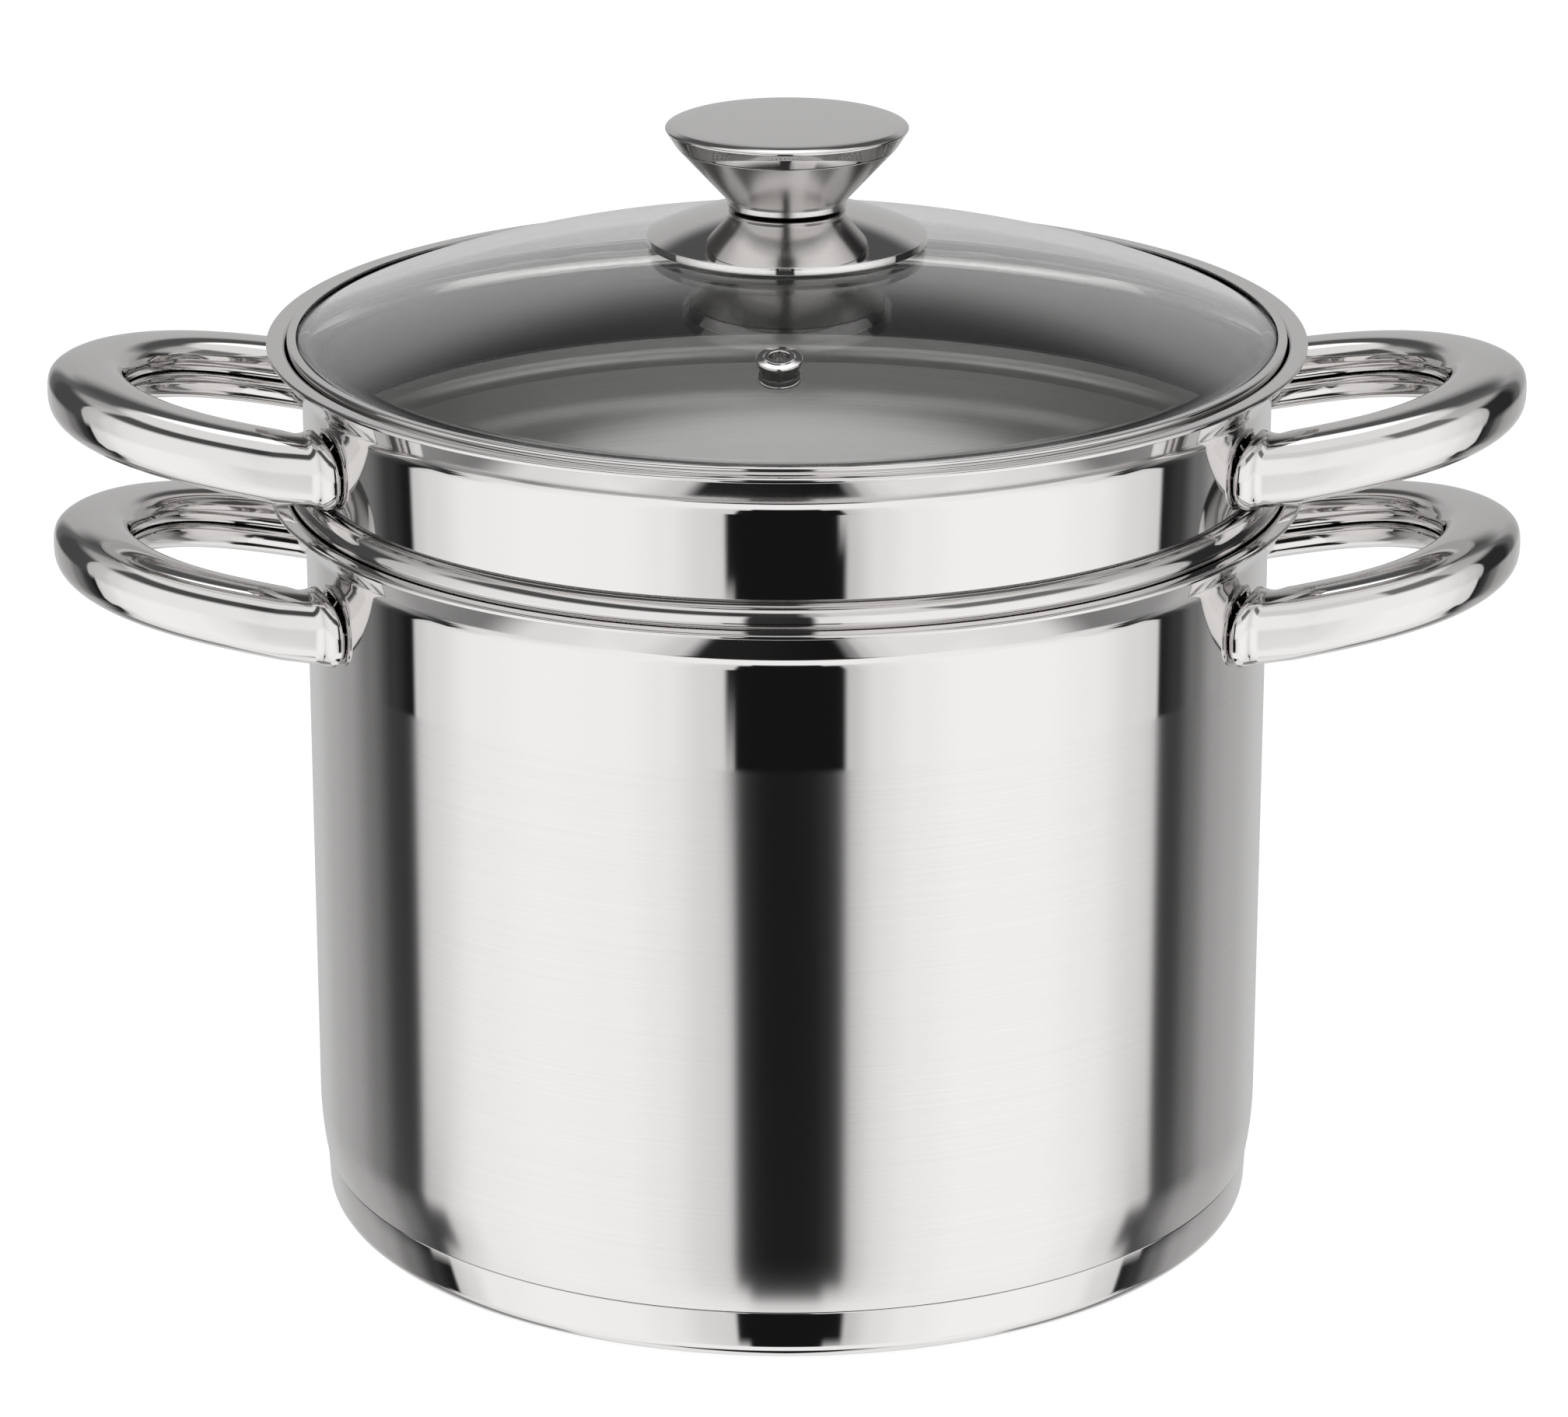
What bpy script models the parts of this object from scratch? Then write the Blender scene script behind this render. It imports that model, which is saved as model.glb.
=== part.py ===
# Pasta pot: a pot, a strainer insert that stands in its rim, and a glass lid with a knob.
# Metres, +Z up. The origin is the centre of the foot, on the surface that the pot stands on.
# The handles lie along X. The vent of the lid is at the front, on -Y.
import math

import bmesh
import bpy
from mathutils import Matrix, Vector

# Fits between pieces
CLEARANCE = 0.0003          # touching pieces
BASKET_PLAY = 0.0012        # strainer wall inside the pot wall
SCREW_PLAY = 0.0005         # steel round the lid screw
GLASS_HOLE_PLAY = 0.0015    # glass round the lid screw

# Pot and insert walls, which share one diameter
WALL_RADIUS = 0.1108
SHEET = 0.0010
POT_HEIGHT = 0.1729
INSERT_BAND = 0.0293        # insert wall above its bead, up to the lip

# Collar and lip, the same on pot and insert
LIP_OVERHANG = 0.0079       # lip outside the wall
LIP_RING = 0.0038           # width of the flat ring
COLLAR_DEPTH = 0.0085

# Foot
FOOT_HEIGHT = 0.0120        # top of the polished foot band
FOOT_INSET = 0.0014         # foot band inside the wall
FOOT_CORNER = 0.0040
TAPER_HEIGHT = 0.0140       # where the wall draws in above the foot band
CAPSULE_SHEET = 0.0008
CORE_THICKNESS = 0.0046
CORE_MARGIN = 0.0060        # core disc inside the foot band

# Strainer basket
BASKET_SHEET = 0.0008
BEAD_RADIUS = 0.0038
SLEEVE_HEIGHT = 0.0045      # neck of the basket inside the insert wall
BASKET_FLOOR_GAP = 0.0180   # basket floor above the pot floor
BASKET_CORNER = 0.0140
HOLE_RADIUS = 0.0027
WALL_HOLE_ROWS = 3
WALL_HOLE_COUNT = 18        # in each row
WALL_HOLE_PITCH = 0.0160
WALL_HOLE_START = 0.0220    # lowest row above the basket floor
FLOOR_HOLE_RINGS = 2
FLOOR_HOLE_PITCH = 0.0340

# Handles
HANDLE_SHEET = 0.0012
HANDLE_REACH = 0.1605       # pot axis to the middle of the outer bow
HANDLE_SPREAD = 0.0391      # half the distance between the arms
ARM_LIFT = -0.0002          # arm above the middle of its flange
HANDLE_RISE = 0.0086        # outer bow above the arm ends
ARM_OVERRUN = 0.0100        # the loop's curve ends this far inside the wall
ARM_WIDTH = 0.0165
ARM_HEIGHT = 0.0164
BOW_WIDTH = 0.0178
BOW_HEIGHT = 0.0150
BOW_FLATNESS = 0.60         # powers of the loop's curve: smaller is squarer
SHOULDER_FLATNESS = 1.20
SEAM_GAP = 0.0010
POT_HANDLE_DROP = 0.0229    # lip to the middle of the flange
INSERT_HANDLE_DROP = 0.0207
FLANGE_REACH = 0.0131       # arm middle to the far edge of the flange
FLANGE_HEIGHT = 0.0174
FLANGE_FILLET = 0.0030

# Lid glass and its band
GLASS_THICKNESS = 0.0040
GLASS_MARGIN = 0.0017       # edge of the glass inside the band
GLASS_CHAMFER = 0.0007
GLASS_CROWN = 0.0224        # height of the dome
BAND_SHEET = 0.0005
BAND_TOP = 0.0011           # top of the band above the lip
BAND_INSET = 0.0009         # band inside the lip
BAND_FLANGE = 0.0021        # width over the glass
BAND_DEPTH = 0.0056         # band below the lip
BAND_LEDGE = 0.0022         # width under the glass
GASKET_STEP = 0.0008        # straight part of the gasket's outer side

# Steam vent
VENT_DISTANCE = 0.0750
VENT_TURN = math.radians(-91.25)
VENT_BORE = 0.00225
EYELET_RADIUS = 0.0051
EYELET_SHEET = 0.0007
GROMMET_SHEET = 0.0005
GROMMET_MARGIN = 0.0002      # grommet inside the eyelet's flange
LOWER_MARGIN = 0.0004        # lower flange smaller than the upper one

# Knob
PLATE_RADIUS = 0.0319
PLATE_EDGE = 0.0018
PLATE_CROWN = 0.0074
PLATE_SHEET = 0.0010
WAIST_RADIUS = 0.0142
WAIST_HEIGHT = 0.0016
WAIST_GROOVE = 0.0006
WAIST_WIDTH = 0.0020         # of the ring that stands on the plate
CONE_TOP_RADIUS = 0.0250
CONE_HEIGHT = 0.0117
KNOB_SHEET = 0.0009
CAP_RADIUS = 0.0277
CAP_SHEET = 0.0006
CAP_HEIGHT = 0.0059          # lower edge to crown
CAP_CROWN = 0.0027
BOSS_RADIUS = 0.0060
BOSS_HEIGHT = 0.0110
SCREW_RADIUS = 0.0020
SCREW_HEAD_RADIUS = 0.0042
SCREW_HEAD_HEIGHT = 0.0024
SEAL_RADIUS = 0.0110
SEAL_THICKNESS = 0.0012
WASHER_RADIUS = 0.0090
WASHER_THICKNESS = 0.0012

# Facets
SHELL_STEPS = 36
KNOB_STEPS = 24
SMALL_STEPS = 12
HOLE_STEPS = 6
ARM_STEPS = 6
SECTION_STEPS = 10

# Heights and radii that follow from the sizes above
INNER_RADIUS = WALL_RADIUS - SHEET
LIP_RADIUS = WALL_RADIUS + LIP_OVERHANG
RING_INNER_RADIUS = LIP_RADIUS - LIP_RING
COLLAR_RUN = RING_INNER_RADIUS - INNER_RADIUS
COLLAR_LENGTH = math.hypot(COLLAR_RUN, COLLAR_DEPTH)
COLLAR_RISE = COLLAR_DEPTH / COLLAR_LENGTH      # unit direction up the collar
COLLAR_OUT = COLLAR_RUN / COLLAR_LENGTH
FOOT_RADIUS = WALL_RADIUS - FOOT_INSET
POT_FLOOR = CAPSULE_SHEET + CORE_THICKNESS + 2 * CLEARANCE
BASKET_RADIUS = INNER_RADIUS - BASKET_PLAY
BASKET_FLOOR = POT_FLOOR + SHEET + BASKET_FLOOR_GAP
BEAD_OFFSET = (BEAD_RADIUS + CLEARANCE - COLLAR_RISE * (RING_INNER_RADIUS - WALL_RADIUS)) / COLLAR_OUT
BEAD_HEIGHT = POT_HEIGHT + BEAD_OFFSET
BEAD_TOP = BEAD_HEIGHT + BEAD_RADIUS
INSERT_HEIGHT = BEAD_TOP + CLEARANCE + INSERT_BAND
BAND_RADIUS = RING_INNER_RADIUS - BAND_INSET
GLASS_RADIUS = BAND_RADIUS - GLASS_MARGIN
FLANGE_EDGE = BAND_RADIUS - BAND_FLANGE         # where the glass meets the band's flange
GLASS_RIM = INSERT_HEIGHT + BAND_TOP - BAND_SHEET - CLEARANCE
GLASS_TOP = GLASS_RIM + GLASS_CROWN
DOME_RADIUS = (FLANGE_EDGE ** 2 + GLASS_CROWN ** 2) / (2 * GLASS_CROWN)


def collar_radius(drop):
    """Inner face of the collar at a depth below the lip."""
    return RING_INNER_RADIUS - drop * COLLAR_RUN / COLLAR_DEPTH


def dome_height(radius, sphere, top):
    """Height of a sphere's crown at a distance from its axis."""
    return top - sphere + math.sqrt(sphere ** 2 - radius ** 2)


def glass_height(radius):
    """Top face of the lid glass."""
    return dome_height(radius, DOME_RADIUS, GLASS_TOP)


def arc(centre_r, centre_z, radius, start, end, steps):
    """Points on an arc in the profile plane, angles in degrees from +R towards +Z."""
    points = []
    for i in range(steps + 1):
        angle = math.radians(start + (end - start) * i / steps)
        points.append((centre_r + radius * math.cos(angle), centre_z + radius * math.sin(angle)))
    return points


def new_collection(name):
    collection = bpy.data.collections.new(name)
    bpy.context.scene.collection.children.link(collection)
    return collection


def new_material(name, colour, metallic, roughness, alpha=1.0):
    material = bpy.data.materials.new(name)
    material.use_nodes = True
    shader = material.node_tree.nodes["Principled BSDF"]
    shader.inputs["Base Color"].default_value = (*colour, 1.0)
    shader.inputs["Metallic"].default_value = metallic
    shader.inputs["Roughness"].default_value = roughness
    shader.inputs["Alpha"].default_value = alpha
    material.diffuse_color = (*colour, alpha)
    return material


def add_object(name, mesh, material, collection, parent=None):
    obj = bpy.data.objects.new(name, mesh)
    collection.objects.link(obj)
    obj.parent = parent
    if material is not None and not mesh.materials:
        mesh.materials.append(material)
    return obj


def add_sheet(obj, thickness):
    solidify = obj.modifiers.new("Sheet", "SOLIDIFY")
    solidify.thickness = thickness
    solidify.offset = -1.0
    solidify.use_even_offset = True


def turned(name, profile, material, collection, steps, parent=None, sheet=0.0):
    """A profile turned round Z: an open one with a sheet thickness, or a closed section."""
    count = len(profile)
    edges = [(i, i + 1) for i in range(count - 1)]
    on_axis = profile[0][0] == 0.0 and profile[-1][0] == 0.0
    if sheet == 0.0 and not on_axis:
        edges.append((count - 1, 0))
    mesh = bpy.data.meshes.new(name)
    mesh.from_pydata([(r, 0.0, z) for r, z in profile], edges, [])
    obj = add_object(name, mesh, material, collection, parent)
    screw = obj.modifiers.new("Turn", "SCREW")
    screw.axis = "Z"
    screw.angle = 2 * math.pi
    screw.steps = steps
    screw.render_steps = steps
    screw.use_merge_vertices = True
    screw.merge_threshold = 0.00001
    screw.use_smooth_shade = True
    if sheet > 0.0:
        add_sheet(obj, sheet)
    return obj


def cut(obj, cutter):
    boolean = obj.modifiers.new("Cut", "BOOLEAN")
    boolean.operation = "DIFFERENCE"
    boolean.solver = "EXACT"
    boolean.object = cutter


def hide_cutter(cutter):
    cutter.hide_render = True
    cutter.display_type = "WIRE"


def add_cylinder(bm, radius, length, steps, matrix):
    bmesh.ops.create_cone(
        bm, cap_ends=True, segments=steps, radius1=radius, radius2=radius, depth=length, matrix=matrix)


# Pot


def collar_profile(lip_height):
    """Outer face of lip and collar, from the lip's edge down to the crease on the wall."""
    face_r = COLLAR_RISE * SHEET
    face_z = COLLAR_OUT * SHEET
    under_lip = SHEET - face_z
    return [
        (LIP_RADIUS, lip_height - SHEET),
        (RING_INNER_RADIUS + face_r - under_lip * COLLAR_RUN / COLLAR_DEPTH, lip_height - SHEET),
        (WALL_RADIUS, lip_height - crease_depth()),
    ]


def crease_depth():
    """Depth below the lip at which the collar's outer face meets the wall."""
    shift_r = COLLAR_RISE * SHEET
    shift_z = COLLAR_OUT * SHEET
    return shift_z + (RING_INNER_RADIUS + shift_r - WALL_RADIUS) * COLLAR_DEPTH / COLLAR_RUN


def make_pot_shell(material, collection, parent):
    neck_radius = FOOT_RADIUS - CAPSULE_SHEET - CLEARANCE
    step_height = FOOT_HEIGHT + CLEARANCE
    corner = step_height - POT_FLOOR - SHEET
    profile = collar_profile(POT_HEIGHT)
    profile += [
        (WALL_RADIUS, FOOT_HEIGHT + TAPER_HEIGHT),
        (WALL_RADIUS - 0.3 * FOOT_INSET, FOOT_HEIGHT + 0.5 * TAPER_HEIGHT),
        (FOOT_RADIUS, step_height),
        (neck_radius, step_height),
    ]
    profile += arc(neck_radius - corner, POT_FLOOR + corner, corner, 0, -90, 3)
    profile.append((0.0, POT_FLOOR))
    return turned("pot_shell", profile, material, collection, SHELL_STEPS, parent, SHEET)


def make_base_core(material, collection, parent):
    bottom = CAPSULE_SHEET + CLEARANCE
    radius = FOOT_RADIUS - CORE_MARGIN
    mesh = bpy.data.meshes.new("base_core")
    bm = bmesh.new()
    lift = Matrix.Translation((0.0, 0.0, bottom + CORE_THICKNESS / 2))
    add_cylinder(bm, radius, CORE_THICKNESS, SHELL_STEPS, lift)
    bm.to_mesh(mesh)
    bm.free()
    return add_object("base_core", mesh, material, collection, parent)


def make_base_capsule(material, collection, parent):
    profile = [(FOOT_RADIUS, FOOT_HEIGHT)]
    profile += arc(FOOT_RADIUS - FOOT_CORNER, FOOT_CORNER, FOOT_CORNER, 0, -90, 3)
    profile.append((0.0, 0.0))
    return turned("base_capsule", profile, material, collection, SHELL_STEPS, parent, CAPSULE_SHEET)


# Strainer insert


def make_insert_wall(material, collection, parent):
    profile = collar_profile(INSERT_HEIGHT)
    profile.append((WALL_RADIUS, BEAD_TOP + CLEARANCE))
    return turned("insert_wall", profile, material, collection, SHELL_STEPS, parent, SHEET)


def basket_profile():
    """Outer face of the basket: neck inside the wall, bead in the pot's collar, wall and floor."""
    sleeve_radius = INNER_RADIUS - CLEARANCE
    upper = math.degrees(math.acos((sleeve_radius - WALL_RADIUS) / BEAD_RADIUS))
    lower = -math.degrees(math.acos((BASKET_RADIUS - WALL_RADIUS) / BEAD_RADIUS))
    profile = [(sleeve_radius, BEAD_TOP + SLEEVE_HEIGHT)]
    profile += arc(WALL_RADIUS, BEAD_HEIGHT, BEAD_RADIUS, upper, lower, 4)
    profile += arc(BASKET_RADIUS - BASKET_CORNER, BASKET_FLOOR + BASKET_CORNER, BASKET_CORNER, 0, -90, 3)
    profile.append((0.0, BASKET_FLOOR))
    return profile


def make_hole_cutter(collection, parent):
    """Straining holes: staggered rows round the wall and rings in the floor."""
    mesh = bpy.data.meshes.new("straining_holes")
    bm = bmesh.new()
    through = 8 * BASKET_SHEET
    facet = 2 * math.pi / SHELL_STEPS
    step = 2 * math.pi / WALL_HOLE_COUNT
    for row in range(WALL_HOLE_ROWS):
        height = BASKET_FLOOR + WALL_HOLE_START + row * WALL_HOLE_PITCH
        for i in range(WALL_HOLE_COUNT):
            turn = Matrix.Rotation((i + 0.5 * (row % 2)) * step + 0.5 * facet, 4, "Z")
            place = Matrix.Translation((BASKET_RADIUS, 0.0, height))
            tip = Matrix.Rotation(math.pi / 2, 4, "Y")
            add_cylinder(bm, HOLE_RADIUS, through, HOLE_STEPS, turn @ place @ tip)
    for ring in range(FLOOR_HOLE_RINGS + 1):
        count = max(1, 6 * ring)
        for i in range(count):
            turn = Matrix.Rotation((i + 0.5) * 2 * math.pi / count, 4, "Z")
            place = Matrix.Translation((ring * FLOOR_HOLE_PITCH, 0.0, BASKET_FLOOR))
            add_cylinder(bm, HOLE_RADIUS, through, HOLE_STEPS, turn @ place)
    bm.to_mesh(mesh)
    bm.free()
    cutter = add_object("straining_holes", mesh, None, collection, parent)
    hide_cutter(cutter)
    return cutter


def make_basket(material, collection, cutters, parent):
    profile = basket_profile()
    basket = turned("strainer_basket", profile, material, collection, SHELL_STEPS, parent, BASKET_SHEET)
    cut(basket, make_hole_cutter(cutters, parent))
    return basket


# Handles


def signed_power(value, power):
    return math.copysign(abs(value) ** power, value)


def handle_centre(t):
    """Middle line of the hollow loop in plan, from the bow (t = 0) to the arm's end (t = 1)."""
    angle = t * math.pi / 2
    root = WALL_RADIUS - ARM_OVERRUN
    x = root + (HANDLE_REACH - root) * math.cos(angle) ** BOW_FLATNESS
    y = HANDLE_SPREAD * math.sin(angle) ** SHOULDER_FLATNESS
    z = ARM_LIFT + HANDLE_RISE * (x - WALL_RADIUS) / (HANDLE_REACH - WALL_RADIUS)
    return Vector((x, y, z))


def section_angles():
    """Angles round the tube, from one lip of the seam to the other; the seam is on the inside."""
    seam = math.asin(SEAM_GAP / ARM_HEIGHT)
    span = 2 * (math.pi - seam)
    return [-span / 2 + span * i / SECTION_STEPS for i in range(SECTION_STEPS + 1)]


def tube_ring(t):
    centre = handle_centre(t)
    if t == 0.0:
        outward = Vector((1.0, 0.0, 0.0))
    else:
        along = handle_centre(t + 0.01) - handle_centre(t - 0.01)
        outward = Vector((along.y, -along.x, 0.0)).normalized()
    blend = (centre.x - WALL_RADIUS) / (HANDLE_REACH - WALL_RADIUS)
    half_width = (ARM_WIDTH + (BOW_WIDTH - ARM_WIDTH) * blend) / 2
    half_height = (ARM_HEIGHT + (BOW_HEIGHT - ARM_HEIGHT) * blend) / 2
    ring = []
    for angle in section_angles():
        ring.append(centre + outward * half_width * math.cos(angle)
                    + Vector((0.0, 0.0, half_height * math.sin(angle))))
    return ring


def wall_ring(radius, grow_side, grow_top):
    """Section of the arm's end, grown by a fillet, laid on a cylinder round the pot's axis."""
    ring = []
    for angle in section_angles():
        c = math.cos(angle)
        s = math.sin(angle)
        grow = grow_side if c > 0.0 else grow_top
        y = HANDLE_SPREAD + (ARM_WIDTH / 2 + grow) * c
        z = ARM_LIFT + (ARM_HEIGHT / 2 + grow_top) * s
        ring.append(Vector((math.sqrt(radius ** 2 - y ** 2), y, z)))
    return ring


def flange_ring(radius):
    """Half-moon edge of the flange."""
    ring = []
    for angle in section_angles():
        c = signed_power(math.cos(angle), 0.8)
        s = signed_power(math.sin(angle), 0.8)
        reach = FLANGE_REACH if c > 0.0 else ARM_WIDTH / 2 + FLANGE_FILLET / 2
        y = HANDLE_SPREAD + reach * c
        ring.append(Vector((math.sqrt(radius ** 2 - y ** 2), y, FLANGE_HEIGHT / 2 * s)))
    return ring


def make_handle_mesh(material):
    """Half of one pressed loop, open at its middle plane, its seam and its flange."""
    face = WALL_RADIUS + CLEARANCE + HANDLE_SHEET
    top_fillet = 0.4 * FLANGE_FILLET
    start = face + FLANGE_FILLET
    last = 0.0
    while handle_centre(last).x > start:
        last += 0.002
    rings = [tube_ring(last * i / ARM_STEPS) for i in range(ARM_STEPS)]
    for turn in (0, 45, 90):
        rise = 1 - math.sin(math.radians(turn))
        grow = 1 - math.cos(math.radians(turn))
        rings.append(wall_ring(face + FLANGE_FILLET * rise, FLANGE_FILLET * grow, top_fillet * grow))
    rings.append(flange_ring(face))
    columns = SECTION_STEPS + 1
    vertices = [point for ring in rings for point in ring]
    faces = []
    for i in range(len(rings) - 1):
        for j in range(SECTION_STEPS):
            a = i * columns + j
            faces.append((a, a + columns, a + columns + 1, a + 1))
    mesh = bpy.data.meshes.new("handle")
    mesh.from_pydata(vertices, [], faces)
    mesh.materials.append(material)
    mesh.shade_smooth()
    return mesh


def make_handle(name, mesh, collection, parent, height, turn):
    handle = add_object(name, mesh, None, collection, parent)
    handle.location = (0.0, 0.0, height)
    handle.rotation_euler = (0.0, 0.0, turn)
    mirror = handle.modifiers.new("Mirror", "MIRROR")
    mirror.use_axis = (False, True, False)
    mirror.merge_threshold = 0.00001
    add_sheet(handle, HANDLE_SHEET)
    return handle


# Lid


def make_lid_glass(material, collection, cutters, parent):
    """Tempered dome with a ground edge and a hole for the screw."""
    hole = SCREW_RADIUS + GLASS_HOLE_PLAY
    flat = GLASS_RADIUS - GLASS_CHAMFER
    low_flat = GLASS_RADIUS - 2 * GLASS_CHAMFER
    profile = []
    for i in range(6):
        r = hole + (flat - hole) * i / 5
        profile.append((r, glass_height(r)))
    profile.append((GLASS_RADIUS, glass_height(flat) - GLASS_CHAMFER))
    profile.append((GLASS_RADIUS, glass_height(flat) - 0.5 * GLASS_THICKNESS))
    for i in range(5):
        r = low_flat + (hole - low_flat) * i / 4
        profile.append((r, glass_height(r) - GLASS_THICKNESS))
    glass = turned("lid_glass", profile, material, collection, SHELL_STEPS, parent)
    cut(glass, make_vent_cutter(cutters, parent))
    return glass


def make_lid_band(material, collection, parent):
    """Channel: a flange over the glass, a skirt along the collar and a ledge under the glass."""
    top = INSERT_HEIGHT + BAND_TOP
    bottom = INSERT_HEIGHT - BAND_DEPTH
    shift = CLEARANCE / COLLAR_RISE
    bend = (RING_INNER_RADIUS - shift - BAND_RADIUS) * COLLAR_DEPTH / COLLAR_RUN
    skirt = collar_radius(BAND_DEPTH) - shift
    profile = [
        (FLANGE_EDGE, top),
        (BAND_RADIUS - BAND_SHEET, top),
        (BAND_RADIUS - 0.3 * BAND_SHEET, top - 0.3 * BAND_SHEET),
        (BAND_RADIUS, top - BAND_SHEET),
        (BAND_RADIUS, INSERT_HEIGHT - bend),
        (skirt, bottom),
        (skirt - BAND_LEDGE, bottom),
    ]
    return turned("lid_band", profile, material, collection, SHELL_STEPS, parent, BAND_SHEET)


def make_edge_gasket(material, collection, parent):
    """Bedding ring between the band's ledge and the underside of the glass."""
    shift = (2 * CLEARANCE + BAND_SHEET) / COLLAR_RISE
    low = BAND_DEPTH - BAND_SHEET - CLEARANCE
    high = low - GASKET_STEP
    outer = collar_radius(low) - shift
    outer_top = collar_radius(high) - shift
    inner = outer - BAND_LEDGE + 2 * BAND_SHEET
    profile = [
        (inner, glass_height(inner) - GLASS_THICKNESS - CLEARANCE),
        (outer, glass_height(outer) - GLASS_THICKNESS - CLEARANCE),
        (outer_top, INSERT_HEIGHT - high),
        (outer, INSERT_HEIGHT - low),
        (inner, INSERT_HEIGHT - low),
    ]
    return turned("lid_edge_gasket", profile, material, collection, SHELL_STEPS, parent)


def vent_matrix():
    """Place of the vent: its local origin is on the glass, its local Z along the glass normal."""
    height = glass_height(VENT_DISTANCE)
    tilt = math.asin(VENT_DISTANCE / DOME_RADIUS)
    turn = Matrix.Rotation(VENT_TURN, 4, "Z")
    return turn @ Matrix.Translation((VENT_DISTANCE, 0.0, height)) @ Matrix.Rotation(tilt, 4, "Y")


def tube_radius():
    return VENT_BORE + EYELET_SHEET


def make_vent_cutter(collection, parent):
    mesh = bpy.data.meshes.new("vent_hole")
    bm = bmesh.new()
    radius = tube_radius() + GROMMET_SHEET + 2 * CLEARANCE
    add_cylinder(bm, radius, 4 * GLASS_THICKNESS, SMALL_STEPS, vent_matrix())
    bm.to_mesh(mesh)
    bm.free()
    cutter = add_object("vent_hole", mesh, None, collection, parent)
    hide_cutter(cutter)
    return cutter


def make_vent_eyelet(material, collection, parent):
    """Steel eyelet with a rolled flange on both faces of the glass."""
    seat = GROMMET_SHEET + 2 * CLEARANCE
    top = seat + EYELET_SHEET
    bottom = -GLASS_THICKNESS - seat - EYELET_SHEET
    profile = [
        (VENT_BORE, top + 0.5 * EYELET_SHEET),
        (tube_radius() + 0.5 * EYELET_SHEET, top + 0.5 * EYELET_SHEET),
        (EYELET_RADIUS, top),
        (EYELET_RADIUS, seat),
        (tube_radius(), seat),
        (tube_radius(), bottom + EYELET_SHEET),
        (EYELET_RADIUS - LOWER_MARGIN, bottom + EYELET_SHEET),
        (EYELET_RADIUS - LOWER_MARGIN, bottom),
        (VENT_BORE, bottom),
    ]
    eyelet = turned("vent_eyelet", profile, material, collection, SMALL_STEPS, parent)
    eyelet.matrix_local = vent_matrix()
    return eyelet


def make_vent_grommet(material, collection, parent):
    """Soft sleeve round the eyelet, with a collar on both faces of the glass."""
    inner = tube_radius() + CLEARANCE
    outer = inner + GROMMET_SHEET
    top = CLEARANCE + GROMMET_SHEET
    bottom = -GLASS_THICKNESS - CLEARANCE - GROMMET_SHEET
    profile = [
        (inner, top),
        (EYELET_RADIUS - GROMMET_MARGIN, top),
        (EYELET_RADIUS - GROMMET_MARGIN, CLEARANCE),
        (outer, CLEARANCE),
        (outer, bottom + GROMMET_SHEET),
        (EYELET_RADIUS - LOWER_MARGIN - GROMMET_MARGIN, bottom + GROMMET_SHEET),
        (EYELET_RADIUS - LOWER_MARGIN - GROMMET_MARGIN, bottom),
        (inner, bottom),
    ]
    grommet = turned("vent_grommet", profile, material, collection, SMALL_STEPS, parent)
    grommet.matrix_local = vent_matrix()
    return grommet


# Knob


def plate_bottom():
    """The plate's edge stands on the glass."""
    return glass_height(PLATE_RADIUS - PLATE_SHEET) + CLEARANCE


def plate_sphere():
    return (PLATE_RADIUS ** 2 + PLATE_CROWN ** 2) / (2 * PLATE_CROWN)


def plate_apex():
    return plate_bottom() + PLATE_EDGE + PLATE_CROWN


def waist_bottom():
    """The knob stands on the crown of the plate."""
    return dome_height(WAIST_RADIUS - WAIST_WIDTH, plate_sphere(), plate_apex()) + CLEARANCE


def make_base_plate(material, collection, parent):
    hole = SCREW_RADIUS + SCREW_PLAY
    profile = []
    for i in range(6):
        r = hole + (PLATE_RADIUS - hole) * i / 5
        profile.append((r, dome_height(r, plate_sphere(), plate_apex())))
    profile.append((PLATE_RADIUS, plate_bottom()))
    return turned("knob_base_plate", profile, material, collection, KNOB_STEPS, parent, PLATE_SHEET)


def make_knob_body(material, collection, parent):
    """Hollow inverted cone on a short waist ring, with a floor that the boss stands on."""
    low = waist_bottom()
    profile = [
        (CONE_TOP_RADIUS, low + WAIST_HEIGHT + CONE_HEIGHT),
        (WAIST_RADIUS, low + WAIST_HEIGHT),
        (WAIST_RADIUS - WAIST_GROOVE, low + 0.5 * WAIST_HEIGHT),
        (WAIST_RADIUS - WAIST_GROOVE, low),
        (SCREW_RADIUS + SCREW_PLAY, plate_apex() + CLEARANCE),
    ]
    return turned("knob_body", profile, material, collection, KNOB_STEPS, parent, KNOB_SHEET)


def make_knob_boss(material, collection, parent):
    """Threaded boss inside the cone."""
    low = plate_apex() + 2 * CLEARANCE + KNOB_SHEET
    bore = SCREW_RADIUS + CLEARANCE
    profile = [
        (bore, low + BOSS_HEIGHT),
        (BOSS_RADIUS, low + BOSS_HEIGHT),
        (BOSS_RADIUS, low),
        (bore, low),
    ]
    return turned("knob_boss", profile, material, collection, SMALL_STEPS, parent)


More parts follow.
